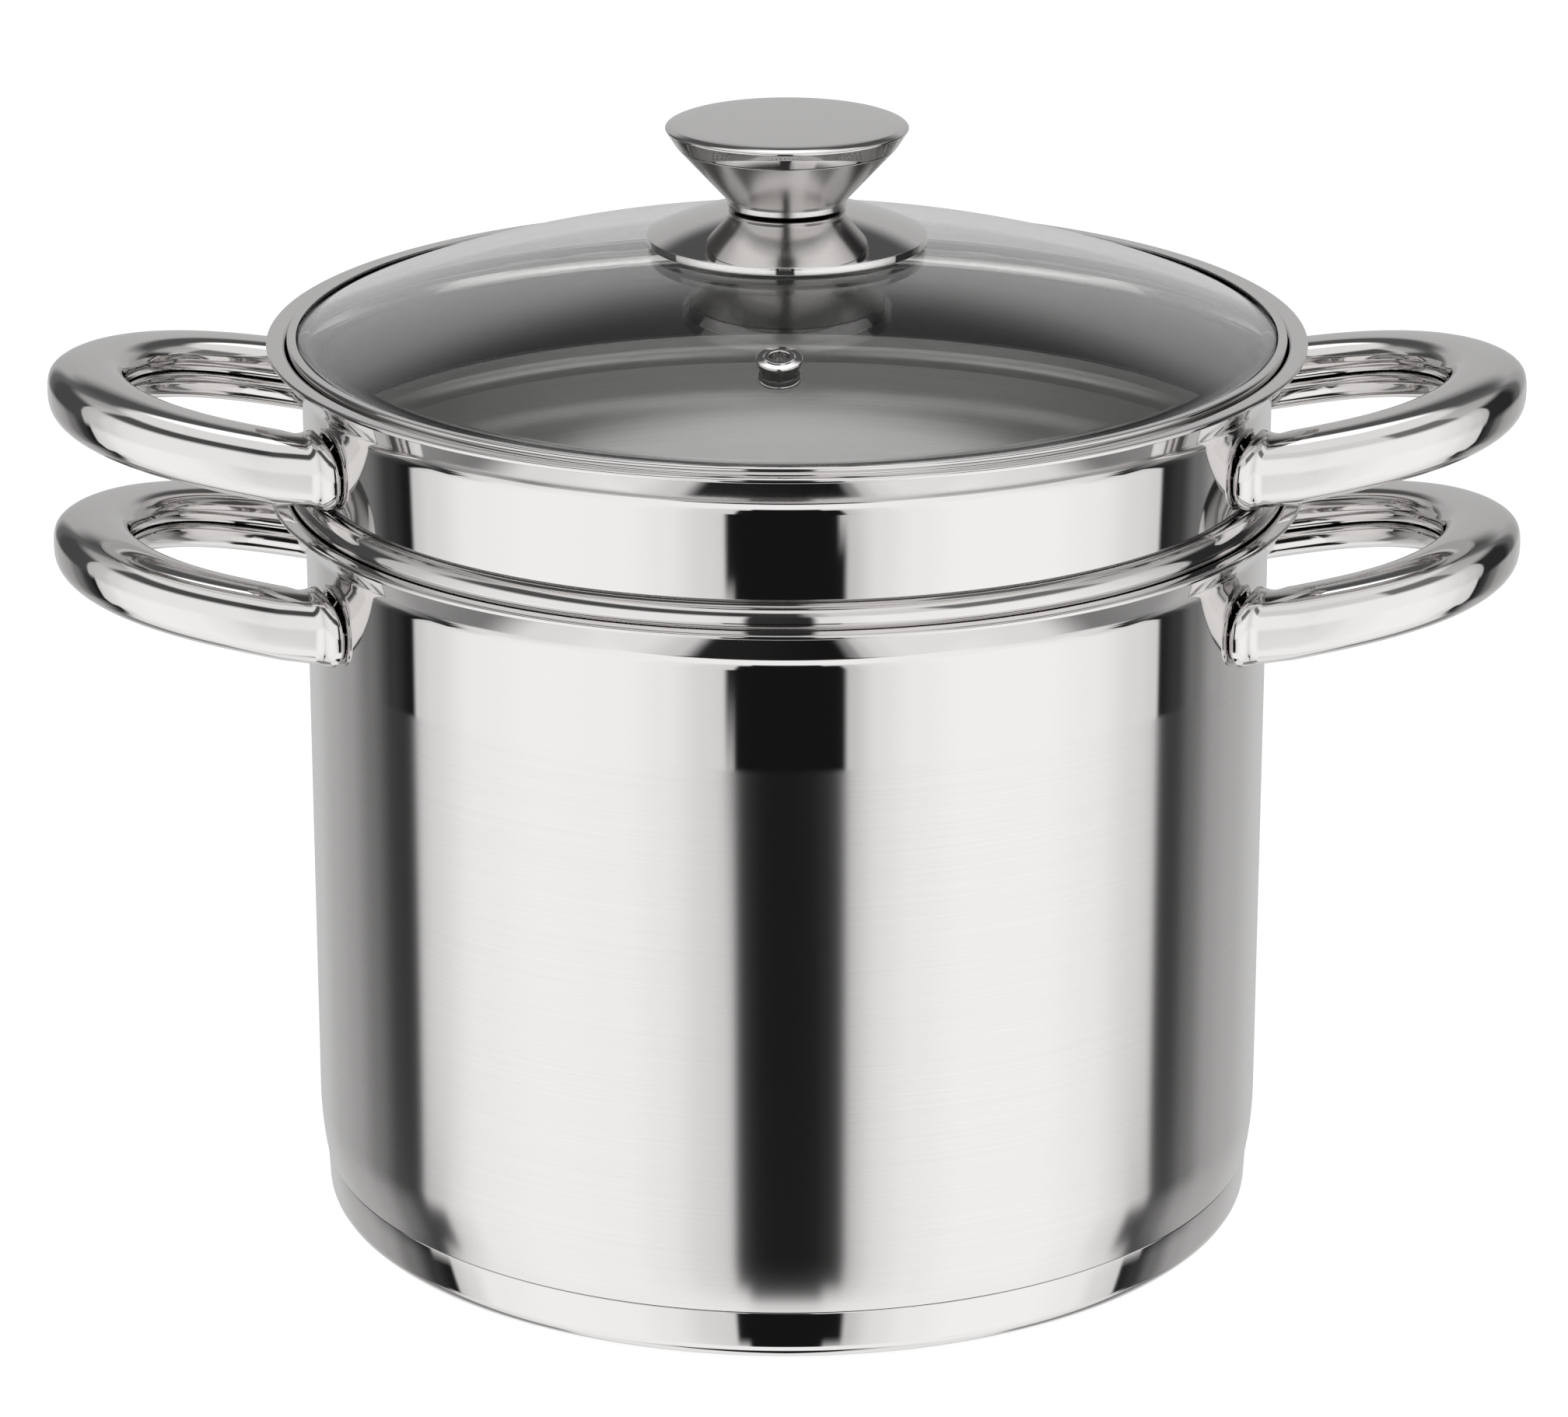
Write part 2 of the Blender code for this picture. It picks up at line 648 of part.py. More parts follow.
def make_knob_cap(material, collection, parent):
    """Shallow domed cover; its skirt carries on the cone's slope down to the cone's upper edge."""
    seat = waist_bottom() + WAIST_HEIGHT + CONE_HEIGHT
    slope = (CONE_TOP_RADIUS - WAIST_RADIUS) / CONE_HEIGHT
    crown = seat + CLEARANCE + CAP_HEIGHT
    sphere = (0.9 * CAP_RADIUS) ** 2 / CAP_CROWN
    profile = []
    for i in range(5):
        r = 0.9 * CAP_RADIUS * i / 4
        profile.append((r, dome_height(r, sphere, crown)))
    shoulder = profile[-1][1]
    profile += [
        (0.975 * CAP_RADIUS, shoulder - 0.16 * CAP_CROWN),
        (CAP_RADIUS, shoulder - 0.36 * CAP_CROWN),
        (0.99 * CAP_RADIUS, seat + 0.45 * CAP_HEIGHT),
        (CONE_TOP_RADIUS + CLEARANCE * slope, seat + CLEARANCE),
    ]
    return turned("knob_cap", profile, material, collection, KNOB_STEPS, parent, CAP_SHEET)


def ring_profile(inner, outer, top, bottom):
    return [(inner, top), (outer, top), (outer, bottom), (inner, bottom)]


def seal_level(radius):
    """Underside of the glass at a radius near the screw."""
    return glass_height(radius) - GLASS_THICKNESS


def make_knob_stack(steel, rubber, collection, parent):
    """Soft washers on both faces of the glass, steel washer and screw."""
    bore = SCREW_RADIUS + CLEARANCE
    top_seat = GLASS_TOP + CLEARANCE
    under = seal_level(SEAL_RADIUS) - CLEARANCE
    upper = ring_profile(bore, SEAL_RADIUS, top_seat + SEAL_THICKNESS, top_seat)
    turned("knob_seal_upper", upper, rubber, collection, SMALL_STEPS, parent)
    lower = ring_profile(bore, SEAL_RADIUS, under, under - SEAL_THICKNESS)
    turned("knob_seal_lower", lower, rubber, collection, SMALL_STEPS, parent)
    washer_top = under - SEAL_THICKNESS - CLEARANCE
    washer = ring_profile(bore, WASHER_RADIUS, washer_top, washer_top - WASHER_THICKNESS)
    turned("knob_washer", washer, steel, collection, SMALL_STEPS, parent)
    head_top = washer_top - WASHER_THICKNESS - CLEARANCE
    shank_top = plate_apex() + CLEARANCE + KNOB_SHEET + 0.8 * BOSS_HEIGHT
    screw = [
        (0.0, shank_top),
        (SCREW_RADIUS, shank_top),
        (SCREW_RADIUS, head_top),
        (SCREW_HEAD_RADIUS, head_top),
        (SCREW_HEAD_RADIUS, head_top - 0.5 * SCREW_HEAD_HEIGHT),
        (0.6 * SCREW_HEAD_RADIUS, head_top - SCREW_HEAD_HEIGHT),
        (0.0, head_top - SCREW_HEAD_HEIGHT),
    ]
    turned("knob_screw", screw, steel, collection, SMALL_STEPS, parent)


def add_empty(name, collection):
    empty = bpy.data.objects.new(name, None)
    collection.objects.link(empty)
    return empty


def build():
    for obj in list(bpy.data.objects):
        bpy.data.objects.remove(obj, do_unlink=True)

    parts = new_collection("pasta_pot")
    cutters = new_collection("cutters")
    brushed = new_material("brushed_stainless", (0.62, 0.61, 0.60), 1.0, 0.34)
    polished = new_material("polished_stainless", (0.70, 0.69, 0.68), 1.0, 0.08)
    aluminium = new_material("aluminium", (0.80, 0.80, 0.80), 1.0, 0.45)
    glass = new_material("tempered_glass", (0.86, 0.92, 0.90), 0.0, 0.02, 0.35)
    rubber = new_material("silicone", (0.06, 0.06, 0.06), 0.0, 0.60)

    pot = add_empty("pot_body", parts)
    insert = add_empty("insert_body", parts)
    lid = add_empty("lid_body", parts)

    make_pot_shell(brushed, parts, pot)
    make_base_core(aluminium, parts, pot)
    make_base_capsule(polished, parts, pot)
    make_insert_wall(polished, parts, insert)
    make_basket(brushed, parts, cutters, insert)

    loop = make_handle_mesh(polished)
    pot_level = POT_HEIGHT - POT_HANDLE_DROP
    insert_level = INSERT_HEIGHT - INSERT_HANDLE_DROP
    make_handle("pot_handle_right", loop, parts, pot, pot_level, 0.0)
    make_handle("pot_handle_left", loop, parts, pot, pot_level, math.pi)
    make_handle("insert_handle_right", loop, parts, insert, insert_level, 0.0)
    make_handle("insert_handle_left", loop, parts, insert, insert_level, math.pi)

    make_lid_glass(glass, parts, cutters, lid)
    make_lid_band(polished, parts, lid)
    make_edge_gasket(rubber, parts, lid)
    make_vent_eyelet(polished, parts, lid)
    make_vent_grommet(rubber, parts, lid)
    make_base_plate(polished, parts, lid)
    make_knob_body(polished, parts, lid)
    make_knob_boss(polished, parts, lid)
    make_knob_cap(brushed, parts, lid)
    make_knob_stack(polished, rubber, parts, lid)


build()
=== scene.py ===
import math

import bmesh
import bpy
from mathutils import Matrix, Vector
from mathutils.geometry import delaunay_2d_cdt


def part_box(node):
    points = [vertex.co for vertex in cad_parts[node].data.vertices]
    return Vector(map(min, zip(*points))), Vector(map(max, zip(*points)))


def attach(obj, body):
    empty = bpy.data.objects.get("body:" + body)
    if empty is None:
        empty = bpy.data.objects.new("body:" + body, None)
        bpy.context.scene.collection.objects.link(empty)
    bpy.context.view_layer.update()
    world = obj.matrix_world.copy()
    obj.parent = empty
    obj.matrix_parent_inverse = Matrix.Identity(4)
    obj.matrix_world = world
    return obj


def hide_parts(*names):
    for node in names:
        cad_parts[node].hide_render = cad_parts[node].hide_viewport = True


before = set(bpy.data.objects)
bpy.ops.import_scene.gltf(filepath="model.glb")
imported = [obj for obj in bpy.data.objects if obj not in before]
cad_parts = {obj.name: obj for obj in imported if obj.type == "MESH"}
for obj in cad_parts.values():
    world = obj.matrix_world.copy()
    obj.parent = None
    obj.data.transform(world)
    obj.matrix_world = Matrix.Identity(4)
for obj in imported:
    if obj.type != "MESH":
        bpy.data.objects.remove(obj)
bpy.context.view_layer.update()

# Pasta pot, its strainer insert and its glass lid, seen from a little above. Metres, +Z up.
# The handles lie along X and the steam vent is on -Y, towards the camera.
print("stage: frame loaded")


# Sizes that several pieces share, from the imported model

def lowest(node):
    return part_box(node)[0]


def highest(node):
    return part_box(node)[1]


potRim = highest("pot_shell").z
insertRim = highest("insert_wall").z
lipRadius = highest("pot_shell").x
footRadius = highest("base_capsule").x
footTop = highest("base_capsule").z
gap = 0.0003                                   # between touching pieces
beadTop = lowest("insert_wall").z - gap
turning = {"steps": 256, "crease": 32, "merge": 0.000001}      # crease in degrees
wall = {
    "radius": 0.1108,
    "sheet": 0.0010,
    "ring": 0.0038,                            # flat ring of the lip
    "collarDepth": 0.0085,
    "collarBend": 0.0060,                      # hollow where collar meets wall
    "lipBend": 0.0004,
    "lipEdge": (0.0002, 0.0007),               # rounding below and above
}
insideFace = wall["radius"] - 0.6 * wall["sheet"]
innerRadius = wall["radius"] - wall["sheet"]
ringRadius = lipRadius - wall["ring"]
collarLean = (ringRadius - innerRadius) / wall["collarDepth"]
collarRise = 1 / math.hypot(1, collarLean)


# Tools for turned pieces

def filleted(corners, steps=7):
    # corners are (radius, height, fillet); a fillet of 0 stays sharp
    outline = []
    count = len(corners)
    for i, (r, z, fillet) in enumerate(corners):
        here = Vector((r, z))
        if fillet == 0:
            outline.append(here)
            continue
        before = Vector(corners[i - 1][:2]) - here
        after = Vector(corners[(i + 1) % count][:2]) - here
        half = before.angle(after) / 2
        reach = min(fillet / math.tan(half), 0.49 * before.length, 0.49 * after.length)
        radius = reach * math.tan(half)
        start = here + before.normalized() * reach
        end = here + after.normalized() * reach
        centre = here + (before.normalized() + after.normalized()).normalized() * (radius / math.sin(half))
        for k in range(steps + 1):
            point = start.lerp(end, k / steps)
            outline.append(centre + (point - centre).normalized() * radius)
    return outline


def sheetOutline(path, sheet, firstRim, lastRim):
    # path runs down the outer face as (radius, height, fillet); the inner face lies one sheet inside it;
    # a rim is the rounding of the sheet's edge on its outer and its inner face
    directions = []
    for a, b in zip(path, path[1:]):
        directions.append((Vector(b[:2]) - Vector(a[:2])).normalized())
    inner = []
    for i, (r, z, fillet) in enumerate(path):
        d1 = directions[max(i - 1, 0)]
        d2 = directions[min(i, len(directions) - 1)]
        n1 = Vector((d1.y, -d1.x))
        n2 = Vector((d2.y, -d2.x))
        point = Vector((r, z)) + (n1 + n2) * (sheet / (1 + n1.dot(n2)))
        turnsIn = d1.x * d2.y - d1.y * d2.x < 0
        radius = 0.0 if fillet == 0 else max(fillet - sheet, 0.0001) if turnsIn else fillet + sheet
        inner.append([point.x if r > 0 else 0.0, point.y, radius])
    outer = [list(point) for point in path]
    outer[0][2], inner[0][2] = firstRim
    outer[-1][2], inner[-1][2] = lastRim
    return filleted(outer + inner[::-1])


def arcPoints(centreR, centreZ, radius, start, end, steps):
    # corner points of an arc in the section, angles in degrees from +R towards +Z
    points = []
    for k in range(steps + 1):
        angle = math.radians(start + (end - start) * k / steps)
        points.append((centreR + radius * math.cos(angle), centreZ + radius * math.sin(angle), 0))
    return points


def addPiece(name, mesh, materials, body, nodes=()):
    piece = bpy.data.objects.new(name, mesh)
    bpy.context.scene.collection.objects.link(piece)
    for material in materials:
        mesh.materials.append(material)
    if nodes:
        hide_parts(*nodes)
    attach(piece, body)
    return piece


def turnedMesh(name, outline, steps):
    bm = bmesh.new()
    ring = [bm.verts.new((p[0], 0.0, p[1])) for p in outline]
    edges = [bm.edges.new((a, b)) for a, b in zip(ring, ring[1:] + ring[:1])]
    bmesh.ops.spin(bm, geom=ring + edges, axis=(0, 0, 1), cent=(0, 0, 0), steps=steps,
                   angle=2 * math.pi, use_merge=True)
    bmesh.ops.remove_doubles(bm, verts=bm.verts, dist=turning["merge"])
    bmesh.ops.recalc_face_normals(bm, faces=bm.faces)
    mesh = bpy.data.meshes.new(name)
    bm.to_mesh(mesh)
    bm.free()
    mesh.shade_smooth()
    mesh.set_sharp_from_angle(angle=math.radians(turning["crease"]))
    return mesh


def turnedPiece(name, outline, materials, body, nodes, steps=None, insideFinish=None):
    # insideFinish(radius, height, normal) is true where the second material goes
    mesh = turnedMesh(name, outline, steps or turning["steps"])
    if insideFinish:
        for face in mesh.polygons:
            c = face.center
            face.material_index = int(insideFinish(math.hypot(c.x, c.y), c.z, face.normal))
    return addPiece(name, mesh, materials, body, nodes)


# Materials

def linear(hexColour):
    channels = [int(hexColour[i:i + 2], 16) / 255 for i in (1, 3, 5)]
    return tuple(c / 12.92 if c <= 0.04045 else ((c + 0.055) / 1.055) ** 2.4 for c in channels) + (1.0,)


def addNode(tree, kind, settings=None, values=None, links=None):
    # settings are node properties, values are socket values, links are socket: (node, output)
    node = tree.nodes.new(kind)
    for key, value in (settings or {}).items():
        setattr(node, key, value)
    for key, value in (values or {}).items():
        node.inputs[key].default_value = value
    for key, (source, output) in (links or {}).items():
        tree.links.new(source.outputs[output], node.inputs[key])
    return node


def newMaterial(name, values):
    material = bpy.data.materials.new(name)
    material.use_nodes = True
    tree = material.node_tree
    shader = tree.nodes["Principled BSDF"]
    for key, value in values.items():
        shader.inputs[key].default_value = value
    return material, tree, shader


steel = {
    "colour": "#dedcdb",            # 18/10 stainless, close to neutral
    "brushedRoughness": 0.14,
    "brushedStretch": 0.60,         # reflections blur across the brushing much more than along it
    "brushedStreaks": 0.04,         # how much a line is lighter or darker than the sheet
    "satinRoughness": 0.45,
    "satinPaintedLightColour": "#f0efee",       # painted light: lighter than the wall's steel, for the light inside the pot
    "satinStreaks": 0.10,
    "insideShadedColour": "#b4b3b2",      # painted shade: darker than the wall's steel, for the shade inside the insert
    "insideStreaks": 0.12,
    "polishedRoughness": 0.045,
    "turnedRoughness": 0.20,
    "lineSpacing": 0.0004,          # abrasive belt marks are near 0.05 mm; drawn eight times coarser to show
    "lineLength": 0.060,
    "lineRelief": 0.00002,
    "lineBump": 0.07,
    "buffingWave": 0.016667,        # a buffing wheel leaves waves about this long
    "buffingRelief": 0.0002,
    "buffingBump": 0.02,
    "paintedShadeHeight": 0.024,            # painted shade: the wall's colour darkens over this height towards the bead
    "paintedShadeLevel": 0.18,
    "blendBelow": 0.0012,           # brushing and polish run into each other over 2 mm
    "blendAbove": 0.0008,
}
sodaGlass = {"colour": "#fcfdfc", "ior": 1.52}
rubber = {
    "dark": "#3a3b3c",
    "clear": "#a2a4a1",
    "clearness": 0.9,
    "roughness": 0.6,
    "grain": 0.00025,               # the mould's grain is near 0.05 mm; drawn five times coarser to show
    "relief": 0.00005,
    "bump": 0.1,
}
disc = {"colour": "#c9cacc", "roughness": 0.45, "grain": 0.00111, "relief": 0.0001, "bump": 0.1}


def addGrain(tree, shader, size, relief, strength):
    # a bump of soft noise, its grains about one size across
    place = addNode(tree, "ShaderNodeTexCoord")
    grain = addNode(tree, "ShaderNodeTexNoise", values={"Scale": 1 / size},
                    links={"Vector": (place, "Object")})
    bump = addNode(tree, "ShaderNodeBump", values={"Strength": strength, "Distance": relief},
                   links={"Height": (grain, "Fac")})
    tree.links.new(bump.outputs[0], shader.inputs["Normal"])


def brushedStainless(name, roughness=steel["brushedRoughness"], colour=steel["colour"],
                     streaks=steel["brushedStreaks"], polishedAbove=None, dullFrom=None):
    # Belt-brushed stainless: fine lines round the axis that smear reflections up and down
    material, tree, shader = newMaterial(name, {
        "Base Color": linear(colour),
        "Metallic": 1.0,
        "Roughness": roughness,
        "Anisotropic": steel["brushedStretch"],
        "Anisotropic Rotation": 0.25,
    })
    around = addNode(tree, "ShaderNodeTangent", {"direction_type": "RADIAL", "axis": "Z"})
    tree.links.new(around.outputs[0], shader.inputs["Tangent"])
    place = addNode(tree, "ShaderNodeTexCoord")
    height = addNode(tree, "ShaderNodeSeparateXYZ", links={0: (place, "Object")})

    # noise squeezed to one line's spacing upwards and drawn out to its length round the pot
    along = addNode(tree, "ShaderNodeVectorMath", {"operation": "SCALE"}, {"Scale": 1 / steel["lineLength"]},
                    {0: (place, "Object")})
    flat = addNode(tree, "ShaderNodeSeparateXYZ", links={0: (along, 0)})
    across = addNode(tree, "ShaderNodeMath", {"operation": "MULTIPLY"}, {1: 1 / steel["lineSpacing"]},
                     {0: (height, "Z")})
    lines = addNode(tree, "ShaderNodeCombineXYZ",
                    links={"X": (flat, "X"), "Y": (flat, "Y"), "Z": (across, 0)})
    fine = addNode(tree, "ShaderNodeTexNoise", values={"Scale": 1.0, "Detail": 3.0, "Roughness": 0.6},
                   links={"Vector": (lines, 0)})
    bump = addNode(tree, "ShaderNodeBump", links={"Height": (fine, "Fac")},
                   values={"Strength": steel["lineBump"], "Distance": steel["lineRelief"]})
    tree.links.new(bump.outputs[0], shader.inputs["Normal"])
    tint = addNode(tree, "ShaderNodeMapRange", values={"To Min": 1 - streaks, "To Max": 1 + streaks},
                   links={"Value": (fine, "Fac")})
    shade = addNode(tree, "ShaderNodeVectorMath", {"operation": "SCALE"}, {0: linear(colour)[:3]},
                    {"Scale": (tint, 0)})
    # painted shade: the colour darkens smoothly towards the bottom, over a set height above the given one
    if dullFrom is not None:
        fade = addNode(tree, "ShaderNodeMapRange", {"interpolation_type": "SMOOTHSTEP"},
                       {"From Min": dullFrom, "From Max": dullFrom + steel["paintedShadeHeight"],
                        "To Min": steel["paintedShadeLevel"], "To Max": 1.0}, {"Value": (height, "Z")})
        shade = addNode(tree, "ShaderNodeVectorMath", {"operation": "SCALE"},
                        links={0: (shade, 0), "Scale": (fade, 0)})
    tree.links.new(shade.outputs[0], shader.inputs["Base Color"])

    if polishedAbove is not None:
        polish = addNode(tree, "ShaderNodeBsdfPrincipled", values={
            "Base Color": linear(steel["colour"]),
            "Metallic": 1.0,
            "Roughness": steel["polishedRoughness"],
        })
        edge = addNode(tree, "ShaderNodeMapRange", {"interpolation_type": "SMOOTHSTEP"},
                       {"From Min": polishedAbove - steel["blendBelow"],
                        "From Max": polishedAbove + steel["blendAbove"]}, {"Value": (height, "Z")})
        blend = addNode(tree, "ShaderNodeMixShader", links={0: (edge, 0), 1: (shader, 0), 2: (polish, 0)})
        tree.links.new(blend.outputs[0], tree.nodes["Material Output"].inputs["Surface"])
    return material


def polishedStainless(name, roughness=steel["polishedRoughness"]):
    # Buffed stainless: a mirror with a faint waviness left by the wheel
    material, tree, shader = newMaterial(name, {
        "Base Color": linear(steel["colour"]),
        "Metallic": 1.0,
        "Roughness": roughness,
    })
    addGrain(tree, shader, steel["buffingWave"], steel["buffingRelief"], steel["buffingBump"])
    return material


def temperedGlass(name):
    # Soda-lime glass, heat toughened: clear, with a grey-green cast where it is seen edge on
    return newMaterial(name, {
        "Base Color": linear(sodaGlass["colour"]),
        "Roughness": 0.0,
        "IOR": sodaGlass["ior"],
        "Transmission Weight": 1.0,
    })[0]


def siliconeRubber(name, colour, clearness=0.0):
    # Moulded silicone: dull, with a faint powdery grain; the clear kind lets its surroundings show through
    material, tree, shader = newMaterial(name, {
        "Base Color": linear(colour),
        "Roughness": rubber["roughness"],
        "Transmission Weight": clearness,
    })
    addGrain(tree, shader, rubber["grain"], rubber["relief"], rubber["bump"])
    return material


def pressedAluminium(name):
    # Pressed aluminium disc: pale and dull, with the grain of the blank
    material, tree, shader = newMaterial(name, {
        "Base Color": linear(disc["colour"]),
        "Metallic": 1.0,
        "Roughness": disc["roughness"],
    })
    addGrain(tree, shader, disc["grain"], disc["relief"], disc["bump"])
    return material


bandBottom = 0.1400            # lower edge of the pot's polished band
potSteel = brushedStainless("brushed stainless, pot wall", polishedAbove=bandBottom)
brushedWall = brushedStainless("brushed stainless, walls")
# the basket is the same steel painted lighter: painted light
satinWall = brushedStainless("satin stainless, basket", steel["satinRoughness"], steel["satinPaintedLightColour"],
                             steel["satinStreaks"])
# the inside of the insert is the same steel painted darker, with painted shade that deepens towards the bead
insertInside = brushedStainless("brushed stainless with painted shade, inside of the insert", colour=steel["insideShadedColour"],
                                streaks=steel["insideStreaks"], dullFrom=beadTop)
mirrorSteel = polishedStainless("polished stainless")
satinTurned = polishedStainless("satin stainless, turned knob", steel["turnedRoughness"])
glass = temperedGlass("tempered glass")
silicone = siliconeRubber("silicone, dark", rubber["dark"])
clearSilicone = siliconeRubber("silicone, clear", rubber["clear"], rubber["clearness"])
aluminium = pressedAluminium("aluminium core")
print("stage: materials")


# Pot

potShell = {
    "taperTop": 0.026,             # the wall draws in below this
    "taperRadius": 0.080,
    "taperSteps": 8,
    "neckBend": 0.0003,
    "floorCorner": 0.0045,
    "floor": 0.0060,
    "polishedDepth": 0.013,        # the polish goes this far down inside
}
baseCapsule = {"sheet": 0.0008, "corner": 0.0040, "draw": 0.0006, "edge": (0.0003, 0.0002)}


def collarPath(rim):
    # outer face of lip and collar, the same on pot and insert
    lipEdge = rim - wall["sheet"]
    faceShift = wall["sheet"] * collarRise
    underLip = ringRadius + faceShift - (wall["sheet"] - faceShift * collarLean) * collarLean
    creaseDepth = faceShift * collarLean + (ringRadius + faceShift - wall["radius"]) / collarLean
    return [
        (lipRadius, lipEdge, 0),
        (underLip, lipEdge, wall["lipBend"]),
        (wall["radius"], rim - creaseDepth, wall["collarBend"]),
    ]


def makePotShell():
    path = collarPath(potRim)
    bow = potShell["taperRadius"]
    reach = math.degrees(math.asin((potShell["taperTop"] - footTop - gap) / bow))
    path += arcPoints(wall["radius"] - bow, potShell["taperTop"], bow, 0, -reach, potShell["taperSteps"])
    neck = footRadius - baseCapsule["sheet"] - gap
    path += [
        (neck, footTop + gap, potShell["neckBend"]),
        (neck, potShell["floor"], potShell["floorCorner"]),
        (0, potShell["floor"], 0),
    ]
    outline = sheetOutline(path, wall["sheet"], wall["lipEdge"], (0, 0))

    def inside(r, z, normal):
        return r < insideFace and z < potRim - potShell["polishedDepth"] and normal.z > -0.5
    turnedPiece("potShell", outline, [potSteel, brushedWall], "pot", ["pot_shell"], insideFinish=inside)


def makeBaseCapsule():
    path = [
        (footRadius, footTop, 0),
        (footRadius - baseCapsule["draw"], 0, baseCapsule["corner"]),
        (0, 0, 0),
    ]
    outline = sheetOutline(path, baseCapsule["sheet"], baseCapsule["edge"], (0, 0))
    turnedPiece("baseCapsule", outline, [mirrorSteel], "pot", ["base_capsule"])


makePotShell()
makeBaseCapsule()
print("stage: pot")


# Strainer insert

insertWall = {"footEdge": (0.0003, 0.0002), "polishedDepth": 0.009}
basket = {
    "sheet": 0.0008,
    "play": 0.0012,                # basket wall inside the pot wall
    "beadRadius": 0.0038,
    "beadSteps": 14,
    "sleeve": 0.0012,              # neck inside the insert wall, above the bead
    "waveHeight": 0.1605,          # shallow stiffening bead pressed into the wall
    "waveDepth": 0.0006,
    "waveReach": 0.0055,
    "waveSteps": 16,
    "corner": 0.0140,
    "cornerSteps": 10,
    "crease": 40,
    "holeRadius": 0.0021,
    "rows": 8,
    "columns": 66,
    "rowPitch": 0.0103,
    "lowestRow": 0.0240,           # lower edge of the pierced rows, above the basket floor
    "cellSteps": 4,                # points along one side of the square round a hole
    "floorRings": 8,
    "floorPitch": 0.0105,
    "floorTurn": 0.4,              # each ring of the floor is turned this much, in radians, past the last
}
holeSides = 4 * basket["cellSteps"]


def makeInsertWall():
    path = collarPath(insertRim) + [(wall["radius"], beadTop + gap, 0)]
    outline = sheetOutline(path, wall["sheet"], wall["lipEdge"], insertWall["footEdge"])

    def inside(r, z, normal):
        return r < insideFace and z < insertRim - insertWall["polishedDepth"]
    # inside, the insert wall carries painted shade
    turnedPiece("insertWall", outline, [mirrorSteel, insertInside], "insert", ["insert_wall"],
                insideFinish=inside)


def basketSection():
    floor = lowest("strainer_basket").z
    beadZ = beadTop - basket["beadRadius"]
    sleeveR = innerRadius - gap
    wallR = innerRadius - basket["play"]
    upper = math.degrees(math.acos((sleeveR - wall["radius"]) / basket["beadRadius"]))
    lower = -math.degrees(math.acos((wallR - wall["radius"]) / basket["beadRadius"]))
    path = [(sleeveR, beadTop + basket["sleeve"], 0)]
    path += arcPoints(wall["radius"], beadZ, basket["beadRadius"], upper, lower, basket["beadSteps"])
    for k in range(basket["waveSteps"] + 1):
        share = 2 * k / basket["waveSteps"] - 1
        inward = basket["waveDepth"] * (1 + math.cos(math.pi * share)) / 2
        path.append((wallR - inward, basket["waveHeight"] - share * basket["waveReach"], 0))
    path += [(wallR, floor, basket["corner"]), (0, floor, 0)]
    return path


def ringOfPoints(bm, radius, height):
    count = basket["cellSteps"] * basket["columns"]
    ring = []
    for i in range(count):
        angle = 2 * math.pi * i / count
        ring.append(bm.verts.new((radius * math.cos(angle), radius * math.sin(angle), height)))
    return ring


def joinRings(bm, upper, lower):
    for i in range(len(upper)):
        k = (i + 1) % len(upper)
        bm.faces.new((upper[i], lower[i], lower[k], upper[k]))


def piercedRow(bm, upper, radius, top):
    # one row of round holes: every hole sits in a square cell with a point on its edge for each of its own
    steps = basket["cellSteps"]
    bottom = top - basket["rowPitch"]
    lower = ringOfPoints(bm, radius, bottom)
    posts = []
    for c in range(basket["columns"]):
        angle = 2 * math.pi * c / basket["columns"]
        posts.append([bm.verts.new((radius * math.cos(angle), radius * math.sin(angle),
                                    top + (bottom - top) * k / steps)) for k in range(1, steps)])
    for c in range(basket["columns"]):
        across = [(steps * c + k) % len(upper) for k in range(steps + 1)]
        edge = [upper[i] for i in across]
        edge += posts[(c + 1) % basket["columns"]]
        edge += [lower[i] for i in across[::-1]]
        edge += posts[c][::-1]
        hole = []
        for k in range(holeSides):
            turn = math.radians(135 - 360 * k / holeSides)
            angle = 2 * math.pi * (c + 0.5) / basket["columns"]
            angle += basket["holeRadius"] / radius * math.cos(turn)
            hole.append(bm.verts.new((radius * math.cos(angle), radius * math.sin(angle),
                                      (top + bottom) / 2 + basket["holeRadius"] * math.sin(turn))))
        for k in range(holeSides):
            n = (k + 1) % holeSides
            bm.faces.new((edge[k], hole[k], hole[n], edge[n]))
    return lower


def piercedFloor(bm, radius, height):
    # rings of holes round a middle one, filled in between
    centres = [(0.0, 0.0)]
    for ring in range(1, basket["floorRings"] + 1):
        for k in range(6 * ring):
            angle = 2 * math.pi * k / (6 * ring) + basket["floorTurn"] * ring
            centres.append((ring * basket["floorPitch"] * math.cos(angle),
                            ring * basket["floorPitch"] * math.sin(angle)))
    outlines = [((0.0, 0.0), radius, basket["cellSteps"] * basket["columns"])]
    outlines += [(centre, basket["holeRadius"], holeSides) for centre in centres]
    points = []
    edges = []
    for (x, y), size, count in outlines:
        first = len(points)
        for k in range(count):
            angle = 2 * math.pi * k / count
            points.append(Vector((x + size * math.cos(angle), y + size * math.sin(angle))))
            edges.append((first + k, first + (k + 1) % count))
    filled = delaunay_2d_cdt(points, edges, [], 0, 0.0000001)
    verts = [bm.verts.new((point.x, point.y, height)) for point in filled[0]]
    for face in filled[2]:                     # all but the faces inside a hole
        middle = sum((filled[0][i] for i in face), Vector((0, 0))) / len(face)
        if all(math.hypot(middle.x - x, middle.y - y) > 0.97 * basket["holeRadius"] for x, y in centres):
            bm.faces.new([verts[i] for i in face])


